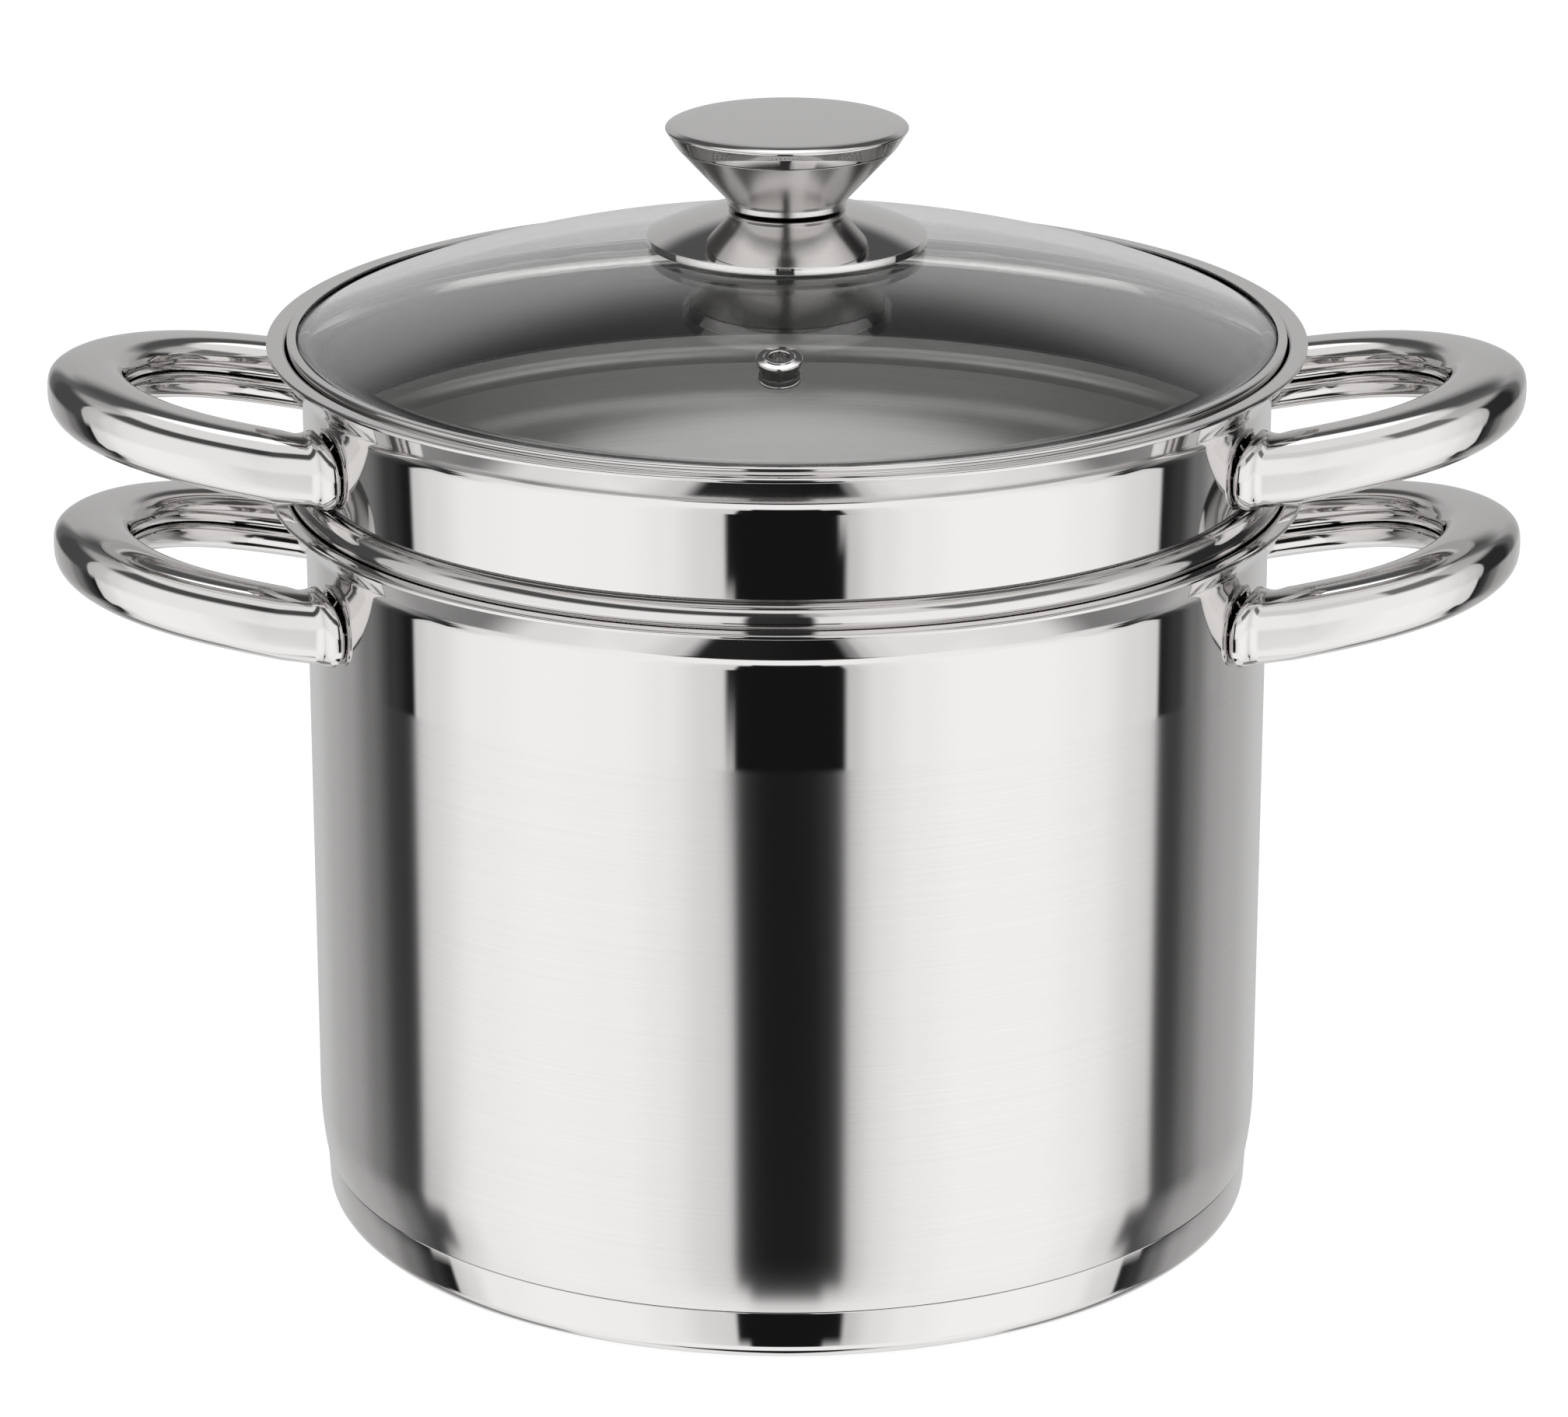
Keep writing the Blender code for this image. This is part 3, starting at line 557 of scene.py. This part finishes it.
def makeBasket():
    floor = lowest("strainer_basket").z
    top = floor + basket["lowestRow"] + basket["rows"] * basket["rowPitch"]
    outline = filleted(basketSection(), basket["cornerSteps"])
    above = [point for point in outline if point.y > top + 0.0005]
    below = [point for point in outline if point.y < floor + basket["corner"] + 0.0001 and point.x > 0.001]
    bm = bmesh.new()
    rings = [ringOfPoints(bm, point.x, point.y) for point in above]
    radius = above[-1].x
    rings.append(ringOfPoints(bm, radius, top))
    for upper, lower in zip(rings, rings[1:]):
        joinRings(bm, upper, lower)
    ring = rings[-1]
    for row in range(basket["rows"]):
        ring = piercedRow(bm, ring, radius, top - row * basket["rowPitch"])
    for point in below:
        lower = ringOfPoints(bm, point.x, point.y)
        joinRings(bm, ring, lower)
        ring = lower
    piercedFloor(bm, below[-1].x, floor)
    bmesh.ops.remove_doubles(bm, verts=bm.verts, dist=2 * turning["merge"])
    bmesh.ops.recalc_face_normals(bm, faces=bm.faces)
    bmesh.ops.solidify(bm, geom=bm.faces, thickness=basket["sheet"])
    mesh = bpy.data.meshes.new("strainerBasket")
    bm.to_mesh(mesh)
    bm.free()
    mesh.shade_smooth()
    mesh.set_sharp_from_angle(angle=math.radians(basket["crease"]))
    beadFoot = beadTop - 2 * basket["beadRadius"]
    for face in mesh.polygons:
        c = face.center
        if c.z > beadFoot and face.normal.x * c.x + face.normal.y * c.y > 0:
            face.material_index = 1            # the bead's outer side is buffed
    addPiece("strainerBasket", mesh, [satinWall, mirrorSteel], "insert", ["strainer_basket"])


makeInsertWall()
makeBasket()
print("stage: insert")


# Handles

handle = {
    "sheet": 0.0012,
    "reach": 0.1605,               # pot axis to the middle of the bow
    "spread": 0.0391,              # half the distance between the arms
    "lift": -0.0002,
    "rise": 0.0086,
    "overrun": 0.0100,
    "bowPower": 0.60,              # lower is squarer
    "shoulderPower": 1.20,
    "closing": 0.0050,             # arms lean towards each other from the wall on
    "armWidth": 0.0165,
    "armHeight": 0.0157,
    "bowWidth": 0.0178,
    "bowHeight": 0.0146,
    "squareness": 0.72,            # 1 is an ellipse
    "seam": 0.0010,
    "flangeReach": 0.0126,
    "flangeInner": 0.0010,         # on the inner side it stands out of the tube by this only
    "flangeHeight": 0.0174,
    "flangeUpper": 0.85,           # squareness of its outline, above and below
    "flangeLower": 0.78,
    "flare": 0.0036,               # the sheet leaves the tube this far off the wall
    "bend": 0.0020,
    "bendAngle": 62,
    "bendSteps": 6,
    "sides": 40,
    "rings": 44,
}


def loopCentre(t):
    angle = t * math.pi / 2
    root = wall["radius"] - handle["overrun"]
    x = root + (handle["reach"] - root) * math.cos(angle) ** handle["bowPower"]
    y = handle["spread"] * math.sin(angle) ** handle["shoulderPower"]
    share = (x - root) / (handle["reach"] - root)
    y = max(y - handle["closing"] * share * (1 - share), 0)
    z = handle["lift"] + handle["rise"] * (x - wall["radius"]) / (handle["reach"] - wall["radius"])
    return Vector((x, y, z))


def sectionAngles():
    # round the tube from one lip of the seam to the other; the seam is on the inside of the loop
    seam = math.asin((handle["seam"] / handle["armHeight"]) ** (1 / handle["squareness"]))
    span = 2 * (math.pi - seam)
    return [-span / 2 + span * i / handle["sides"] for i in range(handle["sides"] + 1)]


def signedPower(value, power):
    return math.copysign(abs(value) ** power, value)


def tubeRing(t):
    centre = loopCentre(t)
    outward = Vector((1, 0, 0))
    if t > 0:
        along = loopCentre(t + 0.005) - loopCentre(t - 0.005)
        outward = Vector((along.y, -along.x, 0)).normalized()
    blend = (centre.x - wall["radius"]) / (handle["reach"] - wall["radius"])
    halfWidth = (handle["armWidth"] + (handle["bowWidth"] - handle["armWidth"]) * blend) / 2
    halfHeight = (handle["armHeight"] + (handle["bowHeight"] - handle["armHeight"]) * blend) / 2
    ring = []
    for angle in sectionAngles():
        side = signedPower(math.cos(angle), handle["squareness"])
        rise = signedPower(math.sin(angle), handle["squareness"])
        ring.append(centre + outward * halfWidth * side + Vector((0, 0, halfHeight * rise)))
    return ring


def flareRing(radius, grow):
    # tube at grow 0, flange outline at grow 1: widest on the outer side, square below and rounder above
    ring = []
    for angle in sectionAngles():
        c = math.cos(angle)
        s = math.sin(angle)
        flange = handle["flangeUpper"] if s > 0 else handle["flangeLower"]
        power = handle["squareness"] * (1 - grow) + grow * flange
        c = signedPower(c, power)
        s = signedPower(s, power)
        side = handle["flangeReach"] if c > 0 else handle["armWidth"] / 2 + handle["flangeInner"]
        reach = handle["armWidth"] / 2 * (1 - grow) + side * grow
        height = (handle["armHeight"] * (1 - grow) + handle["flangeHeight"] * grow) / 2
        y = handle["spread"] + reach * c
        z = handle["lift"] * (1 - grow) + height * s
        ring.append(Vector((math.sqrt(radius ** 2 - y ** 2), y, z)))
    return ring


def handleMesh():
    # half of one pressed loop, open at its middle plane, at its seam and at its flange
    face = wall["radius"] + gap + handle["sheet"]
    last = 0.0                                 # the tube ends where the flare begins
    while loopCentre(last).x > math.sqrt((face + handle["flare"]) ** 2 - handle["spread"] ** 2) + 0.0005:
        last += 0.001
    rings = [tubeRing(last * i / handle["rings"]) for i in range(handle["rings"])]
    growth = handle["flangeReach"] - handle["armWidth"] / 2
    for k in range(handle["bendSteps"] + 1):
        turn = math.radians(handle["bendAngle"] * k / handle["bendSteps"])
        rings.append(flareRing(face + handle["flare"] - handle["bend"] * math.sin(turn),
                               handle["bend"] * (1 - math.cos(turn)) / growth))
    rings.append(flareRing(face, 1))
    columns = handle["sides"] + 1
    points = [point for ring in rings for point in ring]
    faces = []
    for i in range(len(rings) - 1):
        for j in range(handle["sides"]):
            a = i * columns + j
            faces.append((a, a + columns, a + columns + 1, a + 1))
    mesh = bpy.data.meshes.new("handleLoop")
    mesh.from_pydata(points, [], faces)
    mesh.shade_smooth()
    return mesh


def makeHandle(body, side):
    node = body + "_handle_" + side
    height = lowest(node).z + handle["flangeHeight"] / 2
    turn = math.pi if side == "left" else 0
    piece = addPiece(body + "Handle" + side.capitalize(), handleMesh(), [mirrorSteel], body, [node])
    piece.matrix_world = Matrix.Translation((0, 0, height)) @ Matrix.Rotation(turn, 4, "Z")
    mirror = piece.modifiers.new("otherHalf", "MIRROR")
    mirror.use_axis = (False, True, False)
    mirror.merge_threshold = 0.00001
    solid = piece.modifiers.new("sheet", "SOLIDIFY")
    solid.thickness = handle["sheet"]
    solid.offset = -1
    solid.use_even_offset = True


# Spot welds: a small ring round each, under the bend of the handle's sheet

weld = {
    "radius": 0.00075,
    "line": 0.00012,
    "height": 0.0002,
    "spread": 0.0462,
    "rise": 0.0048,
    "standOff": 0.0008,            # from the flange's flat face
    "sides": 24,
}


def addWeld(bm, x, y, z, middle):
    face = wall["radius"] + gap + handle["sheet"]
    angle = math.asin(weld["spread"] / face)
    out = Vector((x * math.cos(angle), y * math.sin(angle), 0))
    place = Matrix.Translation(out * (face + weld["standOff"]) + Vector((0, 0, middle + z * weld["rise"])))
    turn = out.to_track_quat("Z", "Y").to_matrix().to_4x4()
    ring = bmesh.ops.create_circle(bm, segments=weld["sides"], radius=weld["radius"], matrix=place @ turn)
    edges = list(dict.fromkeys(edge for vert in ring["verts"] for edge in vert.link_edges))
    rim = bmesh.ops.extrude_edge_only(bm, edges=edges)
    for vert in (item for item in rim["geom"] if isinstance(item, bmesh.types.BMVert)):
        centre = place.translation
        vert.co = centre + (vert.co - centre) * (1 - weld["line"] / weld["radius"])


def makeWelds(body):
    middle = lowest(body + "_handle_left").z + handle["flangeHeight"] / 2
    bm = bmesh.new()
    for x in (-1, 1):
        for y in (-1, 1):
            for z in (-1, 1):
                addWeld(bm, x, y, z, middle)
    mesh = bpy.data.meshes.new(body + "Welds")
    bm.to_mesh(mesh)
    bm.free()
    welds = addPiece(body + "Welds", mesh, [mirrorSteel], body)
    solid = welds.modifiers.new("height", "SOLIDIFY")
    solid.thickness = weld["height"]
    solid.offset = 0


for body in ("pot", "insert"):
    makeHandle(body, "left")
    makeHandle(body, "right")
for body in ("pot", "insert"):
    makeWelds(body)
print("stage: handles")


# Lid

lidGlass = {
    "thickness": 0.0040,
    "radius": 0.1123,
    "hole": 0.0035,
    "edgeRound": 0.0009,
    "topInset": 0.0006,            # the faces stop this far from the rim, and its rounding follows
    "underInset": 0.0014,
    "rimDrop": 0.0004,
    "steps": 32,
}
band = {
    "sheet": 0.0005,
    "flange": 0.0021,
    "ledge": 0.0022,
    "round": 0.0006,
    "bend": 0.002,
    "firstEdge": (0.0002, 0.0001),
    "lastEdge": (0.0001, 0.0001),
}
glassTop = highest("lid_glass").z
bandTop = highest("lid_band").z
bandRadius = highest("lid_band").x
flangeEdge = bandRadius - band["flange"]
glassRim = bandTop - band["sheet"] - gap
crown = glassTop - glassRim
# the glass's highest point is at the rim of its hole, so the sphere stands a hair above it
domeRadius = (flangeEdge ** 2 + crown ** 2) / (2 * crown)


def glassHeight(r):
    return glassTop - domeRadius + math.sqrt(domeRadius ** 2 - r ** 2)


def makeLidGlass():
    thick = lidGlass["thickness"]
    hole = lidGlass["hole"]
    edge = lidGlass["radius"]
    corners = []
    for k in range(lidGlass["steps"] + 1):
        r = hole + (edge - lidGlass["topInset"] - hole) * k / lidGlass["steps"]
        corners.append((r, glassHeight(r), 0))
    corners.append((edge, glassHeight(edge) - lidGlass["rimDrop"], lidGlass["edgeRound"]))
    corners.append((edge, glassHeight(edge) - 0.5 * thick, lidGlass["edgeRound"]))
    for k in range(lidGlass["steps"] + 1):
        r = edge - lidGlass["underInset"] + (hole - edge + lidGlass["underInset"]) * k / lidGlass["steps"]
        corners.append((r, glassHeight(r) - thick, 0))
    turnedPiece("lidGlass", filleted(corners), [glass], "lid", ["lid_glass"])


def makeLidBand():
    bottom = lowest("lid_band").z
    shift = gap / collarRise
    bend = (ringRadius - shift - bandRadius) / collarLean
    skirt = ringRadius - (insertRim - bottom) * collarLean - shift
    path = [
        (flangeEdge, bandTop, 0),
        (bandRadius, bandTop, band["round"]),
        (bandRadius, insertRim - bend, band["bend"]),
        (skirt, bottom, band["round"]),
        (skirt - band["ledge"], bottom, 0),
    ]
    outline = sheetOutline(path, band["sheet"], band["firstEdge"], band["lastEdge"])
    turnedPiece("lidBand", outline, [mirrorSteel], "lid", ["lid_band"])


makeLidGlass()
makeLidBand()


# Steam vent

vent = {
    "distance": 0.0750,
    "turn": -91.25,
    "bore": 0.00225,
    "radius": 0.0051,
    "sheet": 0.0007,
    "seal": 0.0005,                # grommet between eyelet and glass
    "lip": 0.0003,                 # steps of the rolled lip, from the bore outwards
    "slope": 0.0006,
    "edge": 0.0004,
    "round": 0.0002,
    "lipRound": 0.0003,
    "sides": 64,
}


def ventPlace():
    tilt = math.asin(vent["distance"] / domeRadius)
    turn = Matrix.Rotation(math.radians(vent["turn"]), 4, "Z")
    place = Matrix.Translation((vent["distance"], 0, glassHeight(vent["distance"])))
    return turn @ place @ Matrix.Rotation(tilt, 4, "Y")


def makeVentEyelet():
    seat = vent["seal"] + 2 * gap
    top = seat + 1.5 * vent["sheet"]
    tube = vent["bore"] + vent["sheet"]
    bottom = -lidGlass["thickness"] - seat - vent["sheet"]
    rolled = vent["radius"] - vent["edge"]
    corners = [
        (vent["bore"], top, vent["round"]),
        (tube + vent["lip"], top, vent["round"]),
        (tube + vent["slope"], top - vent["lip"], vent["round"]),
        (vent["radius"], top - vent["edge"], vent["lipRound"]),
        (vent["radius"], seat, vent["round"]),
        (tube, seat, 0),
        (tube, bottom + vent["sheet"], 0),
        (rolled, bottom + vent["sheet"], vent["round"]),
        (rolled, bottom, vent["round"]),
        (vent["bore"], bottom, vent["round"]),
    ]
    outline = filleted(corners)
    eyelet = turnedPiece("ventEyelet", outline, [mirrorSteel], "lid", ["vent_eyelet"], vent["sides"])
    eyelet.matrix_world = ventPlace()


makeVentEyelet()
print("stage: lid")


# Knob

knob = {
    "plateSheet": 0.0010,
    "plateEdge": 0.0018,
    "plateCrown": 0.0074,
    "plateBend": 0.0003,
    "plateRim": (0.0002, 0.0002),
    "plateSteps": 20,
    "waistRadius": 0.0142,
    "waistHeight": 0.0016,
    "waistBend": 0.0006,
    "groove": 0.0006,
    "grooveBend": 0.0003,
    "footRise": 0.0012,            # the body's floor rises this much towards its bore
    "coneHeight": 0.0117,
    "sheet": 0.0009,
    "bore": 0.0025,
    "rim": (0.0001, 0.0001),       # where body and cap meet
    "capSheet": 0.0006,
    "capCrown": 0.0027,
    "capSteps": 11,
    "turnSteps": 160,
}
# the cap's dome and edge, as shares of its radius and of its crown, the edge with fillets in metres
capDome = (0.885, 0.13)
capEdge = [(0.940, 0.22, 0.0030), (0.982, 0.38, 0.0020), (1.0, 0.56, 0.0006)]


def makeBasePlate():
    radius = highest("knob_base_plate").x
    top = highest("knob_base_plate").z
    bottom = lowest("knob_base_plate").z
    sphere = (radius ** 2 + knob["plateCrown"] ** 2) / (2 * knob["plateCrown"])
    path = []
    for k in range(knob["plateSteps"]):
        r = knob["bore"] + (radius - knob["bore"]) * k / knob["plateSteps"]
        path.append((r, top - sphere + math.sqrt(sphere ** 2 - r ** 2), 0))
    path.append((radius, bottom + knob["plateEdge"], knob["plateBend"]))
    path.append((radius, bottom, 0))
    outline = sheetOutline(path, knob["plateSheet"], (0, 0), knob["plateRim"])
    turnedPiece("knobBasePlate", outline, [mirrorSteel], "lid", ["knob_base_plate"], knob["turnSteps"])


def makeKnobBody():
    top = highest("knob_body").z
    bottom = lowest("knob_body").z
    rim = highest("knob_body").x
    waistTop = top - knob["coneHeight"]
    neck = knob["waistRadius"] - knob["groove"]
    path = [
        (rim, top, 0),
        (knob["waistRadius"], waistTop, knob["waistBend"]),
        (neck, waistTop - 0.5 * knob["waistHeight"], knob["grooveBend"]),
        (neck, bottom, knob["grooveBend"]),
        (knob["bore"], bottom + knob["footRise"], 0),
    ]
    outline = sheetOutline(path, knob["sheet"], knob["rim"], (0, 0))
    turnedPiece("knobBody", outline, [satinTurned], "lid", ["knob_body"], knob["turnSteps"])


def makeKnobCap():
    # shallow dome with a rounded edge; the skirt carries on the cone's slope
    top = highest("knob_cap").z
    radius = highest("knob_cap").x
    seat = highest("knob_body").z
    coneTop = highest("knob_body").x
    slope = (coneTop - knob["waistRadius"]) / knob["coneHeight"]
    dome = capDome[0] * radius
    rise = capDome[1] * knob["capCrown"]
    sphere = (dome ** 2 + rise ** 2) / (2 * rise)
    path = []
    for k in range(knob["capSteps"] + 1):
        r = dome * k / knob["capSteps"]
        path.append((r, top - sphere + math.sqrt(sphere ** 2 - r ** 2), 0))
    path += [(out * radius, top - down * knob["capCrown"], fillet) for out, down, fillet in capEdge]
    path.append((coneTop + gap * slope, seat + gap, 0))
    outline = sheetOutline(path, knob["capSheet"], (0, 0), knob["rim"])
    turnedPiece("knobCap", outline, [mirrorSteel], "lid", ["knob_cap"], knob["turnSteps"])


makeBasePlate()
makeKnobBody()
makeKnobCap()
print("stage: knob")


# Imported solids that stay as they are, under glass or out of sight

keptNodes = {
    "base_core": aluminium,
    "lid_edge_gasket": silicone,
    "vent_grommet": clearSilicone,
    "knob_boss": mirrorSteel,
    "knob_seal_upper": silicone,
    "knob_seal_lower": silicone,
    "knob_washer": mirrorSteel,
    "knob_screw": mirrorSteel,
}
for node, material in keptNodes.items():
    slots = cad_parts[node].data.materials
    slots.clear()
    slots.append(material)


# Studio: white floor and world, and round them a far shell that only metal and glass mirror. It holds
# two soft boxes, a dark gap at the camera, dark side walls, a grey backdrop and a pale ceiling.

studio = {
    "floorSize": 12,
    "floorDrop": 0.0005,           # under the pot's foot
    "floorPaint": "#b0b0b0",
    "floorGlow": 0.80,             # makes the floor white to the camera and through glass
    "worldLight": 0.8,             # on the object; the same world is white to the camera
    "underLid": 1.40,              # more light inside, under the lid
}


def evenly(level):
    return [(-180, level), (180, level)]


# Brightness round the shell: (degrees from the camera side, to the right; level)
underPot = [
    (-180, 1.05), (-90, 1.05), (-70, 1.00), (-52, 0.76), (-42, 0.02), (28, 0.01), (34, 0.30), (39, 0.70),
    (46, 0.90), (56, 1.00), (180, 1.05),
]
nearFloor = [
    (-180, 0.90), (-150, 0.75), (-132, 0.35), (-112, 0.25), (-98, 0.95), (-60, 1.15), (60, 1.15), (98, 0.95),
    (112, 0.25), (132, 0.35), (150, 0.75), (180, 0.90),
]
farFloor = [
    (-180, 0.55), (-152, 0.62), (-136, 0.50), (-126, 0.42), (-115, 0.22), (-105, 0.05), (-97, 0.01),
    (-95.4, 0.78), (-90, 0.92), (-77, 1.13), (-58, 1.19), (-38, 1.17), (-28, 1.09), (-18, 0.90),
    (-14.4, 0.85), (-13.2, 0.01), (12.6, 0.01), (14.0, 0.72), (21, 1.00), (29, 1.12), (42, 1.20),
    (60, 1.20), (75, 1.12), (88, 0.93), (95, 0.84), (96.5, 0.02), (103, 0.05), (110, 0.19),
    (120, 0.42), (130, 0.50), (152, 0.62), (180, 0.55),
]
sides = [
    (-180, 0.55), (-152, 0.50), (-141, 0.16), (-130, 0.08), (-102, 0.08), (-100, 0.62), (-90, 0.70),
    (-80, 0.88), (-68, 1.02), (-56, 1.07), (-20, 1.07), (-10, 0.95), (-8, 0.04), (5, 0.03), (7, 1.00),
    (20, 1.14), (58, 1.14), (70, 1.03), (80, 0.92), (90, 0.76), (97, 0.62), (99, 0.03), (120, 0.03),
    (130, 0.15), (140, 0.43), (152, 0.52), (180, 0.55),
]
slots = [
    (-180, 0.10), (-150, 0.10), (-136, 0.14), (-118, 0.45), (-96, 0.60), (-86, 0.10), (-18, 0.08),
    (-12, 0.05), (2, 0.05), (7, 0.55), (12, 0.82), (36, 0.85), (42, 0.20), (78, 0.20), (84, 0.60),
    (118, 0.50), (136, 0.14), (150, 0.10), (180, 0.10),
]
overhead = [(-180, 1.90), (-160, 1.80), (-140, 0.95), (140, 0.95), (160, 1.80), (180, 1.90)]


def squeezed(stops, low, high, share):
    # draws the stops between two directions towards the middle
    return [(a * share if low < a < high else a, level) for a, level in stops]


# the dark gap changes its width with height, and the side walls come forward at the base
lowFloor = squeezed(farFloor, -15, 0, 0.86)
highFloor = squeezed(farFloor, 0, 15, 0.88)
atBase = squeezed(squeezed(lowFloor, -140, -80, 0.93), 80, 140, 0.93)
wedgeEnd = squeezed(farFloor, -20, 15, 0.65)
# (elevation, brightness round it), blended smoothly from one to the next
shellRows = [
    (-90, underPot), (-67, underPot), (-64, nearFloor), (-43, nearFloor), (-38, wedgeEnd), (-34, atBase),
    (-29, atBase), (-26, lowFloor), (-19.6, lowFloor), (-18.2, farFloor), (-16.6, farFloor),
    (-15.4, highFloor), (-10.5, highFloor), (-5, sides), (26, sides), (38, slots), (52, slots),
    (60, overhead), (74, overhead), (80, evenly(0.95)), (90, evenly(0.95)),
]
shell = {"radius": 1.6, "columns": 720, "rows": 180, "height": 0.12}


def blendWeight(low, high, value):
    t = min(max((value - low) / (high - low), 0), 1)
    return t * t * (3 - 2 * t)


def levelAround(stops, azimuth):
    for (a, first), (b, second) in zip(stops, stops[1:]):
        if azimuth <= b:
            return first + (second - first) * blendWeight(a, b, azimuth)


def shellLevels(elevation, azimuths):
    for (low, first), (high, second) in zip(shellRows, shellRows[1:]):
        if elevation <= high:
            weight = blendWeight(low, high, elevation)
            return [levelAround(first, a) * (1 - weight) + levelAround(second, a) * weight for a in azimuths]


def makeShell():
    columns = shell["columns"]
    azimuths = [-180 + 360 * i / columns for i in range(columns)]
    points = []
    levels = []
    for k in range(shell["rows"] + 1):
        elevation = -90 + 180 * k / shell["rows"]
        level = math.cos(math.radians(elevation)) * shell["radius"]
        height = math.sin(math.radians(elevation)) * shell["radius"]
        for azimuth in azimuths:
            angle = math.radians(azimuth)
            points.append((level * math.sin(angle), -level * math.cos(angle), height + shell["height"]))
        for value in shellLevels(elevation, azimuths):
            levels += [value, value, value, 1.0]
    faces = []
    for k in range(shell["rows"]):
        for i in range(columns):
            a = k * columns + i
            b = k * columns + (i + 1) % columns
            faces.append((a, a + columns, b + columns, b))
    mesh = bpy.data.meshes.new("studioShell")
    mesh.from_pydata(points, [], faces)
    tint = mesh.color_attributes.new("brightness", "FLOAT_COLOR", "POINT")
    tint.data.foreach_set("color", levels)
    mesh.materials.append(shellMaterial())
    piece = bpy.data.objects.new("studioShell", mesh)
    bpy.context.scene.collection.objects.link(piece)
    piece.visible_camera = False
    piece.visible_diffuse = False
    piece.visible_shadow = False


def shellMaterial():
    material = bpy.data.materials.new("studio light, graded")
    material.use_nodes = True
    tree = material.node_tree
    tree.nodes.clear()
    level = addNode(tree, "ShaderNodeVertexColor", {"layer_name": "brightness"})
    path = addNode(tree, "ShaderNodeLightPath")
    gain = addNode(tree, "ShaderNodeMapRange", values={"To Min": 1.0, "To Max": studio["underLid"]},
                   links={"Value": (path, "Is Transmission Ray")})
    light = addNode(tree, "ShaderNodeEmission", links={"Color": (level, 0), "Strength": (gain, 0)})
    addNode(tree, "ShaderNodeOutputMaterial", links={"Surface": (light, 0)})
    return material


def seenRays(tree):
    # 1 for what the camera sees, directly, in metal or through glass, and 0 for light on the object
    path = addNode(tree, "ShaderNodeLightPath")
    seen = addNode(tree, "ShaderNodeMath", {"operation": "MAXIMUM"},
                   links={0: (path, "Is Camera Ray"), 1: (path, "Is Glossy Ray")})
    return addNode(tree, "ShaderNodeMath", {"operation": "MAXIMUM"},
                   links={0: (seen, 0), 1: (path, "Is Transmission Ray")})


def makeFloor():
    bpy.ops.mesh.primitive_plane_add(size=studio["floorSize"], location=(0, 0, -studio["floorDrop"]))
    floor = bpy.context.object
    floor.name = "floor"
    floor.visible_glossy = False                # metal mirrors the lower half of the shell instead
    material = bpy.data.materials.new("white floor")
    material.use_nodes = True
    tree = material.node_tree
    tree.nodes.clear()
    glow = addNode(tree, "ShaderNodeMath", {"operation": "MULTIPLY"}, {1: studio["floorGlow"]},
                   {0: (seenRays(tree), 0)})
    light = addNode(tree, "ShaderNodeEmission", links={"Strength": (glow, 0)})
    paint = addNode(tree, "ShaderNodeBsdfDiffuse", values={"Color": linear(studio["floorPaint"])})
    both = addNode(tree, "ShaderNodeAddShader", links={0: (light, 0), 1: (paint, 0)})
    addNode(tree, "ShaderNodeOutputMaterial", links={"Surface": (both, 0)})
    floor.data.materials.append(material)


def makeWorld():
    world = bpy.data.worlds.new("studio")
    bpy.context.scene.world = world
    world.use_nodes = True
    world.cycles_visibility.glossy = False      # the shell takes all the mirrored rays
    tree = world.node_tree
    tree.nodes.clear()
    level = addNode(tree, "ShaderNodeMapRange", values={"To Min": studio["worldLight"], "To Max": 1.0},
                    links={"Value": (seenRays(tree), 0)})
    light = addNode(tree, "ShaderNodeBackground", links={"Strength": (level, 0)})
    addNode(tree, "ShaderNodeOutputWorld", links={"Surface": (light, 0)})


makeFloor()
makeWorld()
makeShell()


# Camera, at the photograph's angle

view = {
    "place": (0, -1.30622, 0.56037),
    "elevation": 18.770,
    "lens": 135.655,
    "sensor": 36,
    "shiftX": -0.00190,
    "clipStart": 0.05,
}
cameraData = bpy.data.cameras.new("camera")
cameraData.lens = view["lens"]
cameraData.sensor_width = view["sensor"]
cameraData.shift_x = view["shiftX"]
cameraData.clip_start = view["clipStart"]
camera = bpy.data.objects.new("camera", cameraData)
bpy.context.scene.collection.objects.link(camera)
camera.matrix_world = (Matrix.Translation(view["place"])
                       @ Matrix.Rotation(math.radians(90 - view["elevation"]), 4, "X"))
bpy.context.scene.camera = camera
bpy.context.scene.view_settings.view_transform = "Standard"
print("stage: studio and camera")
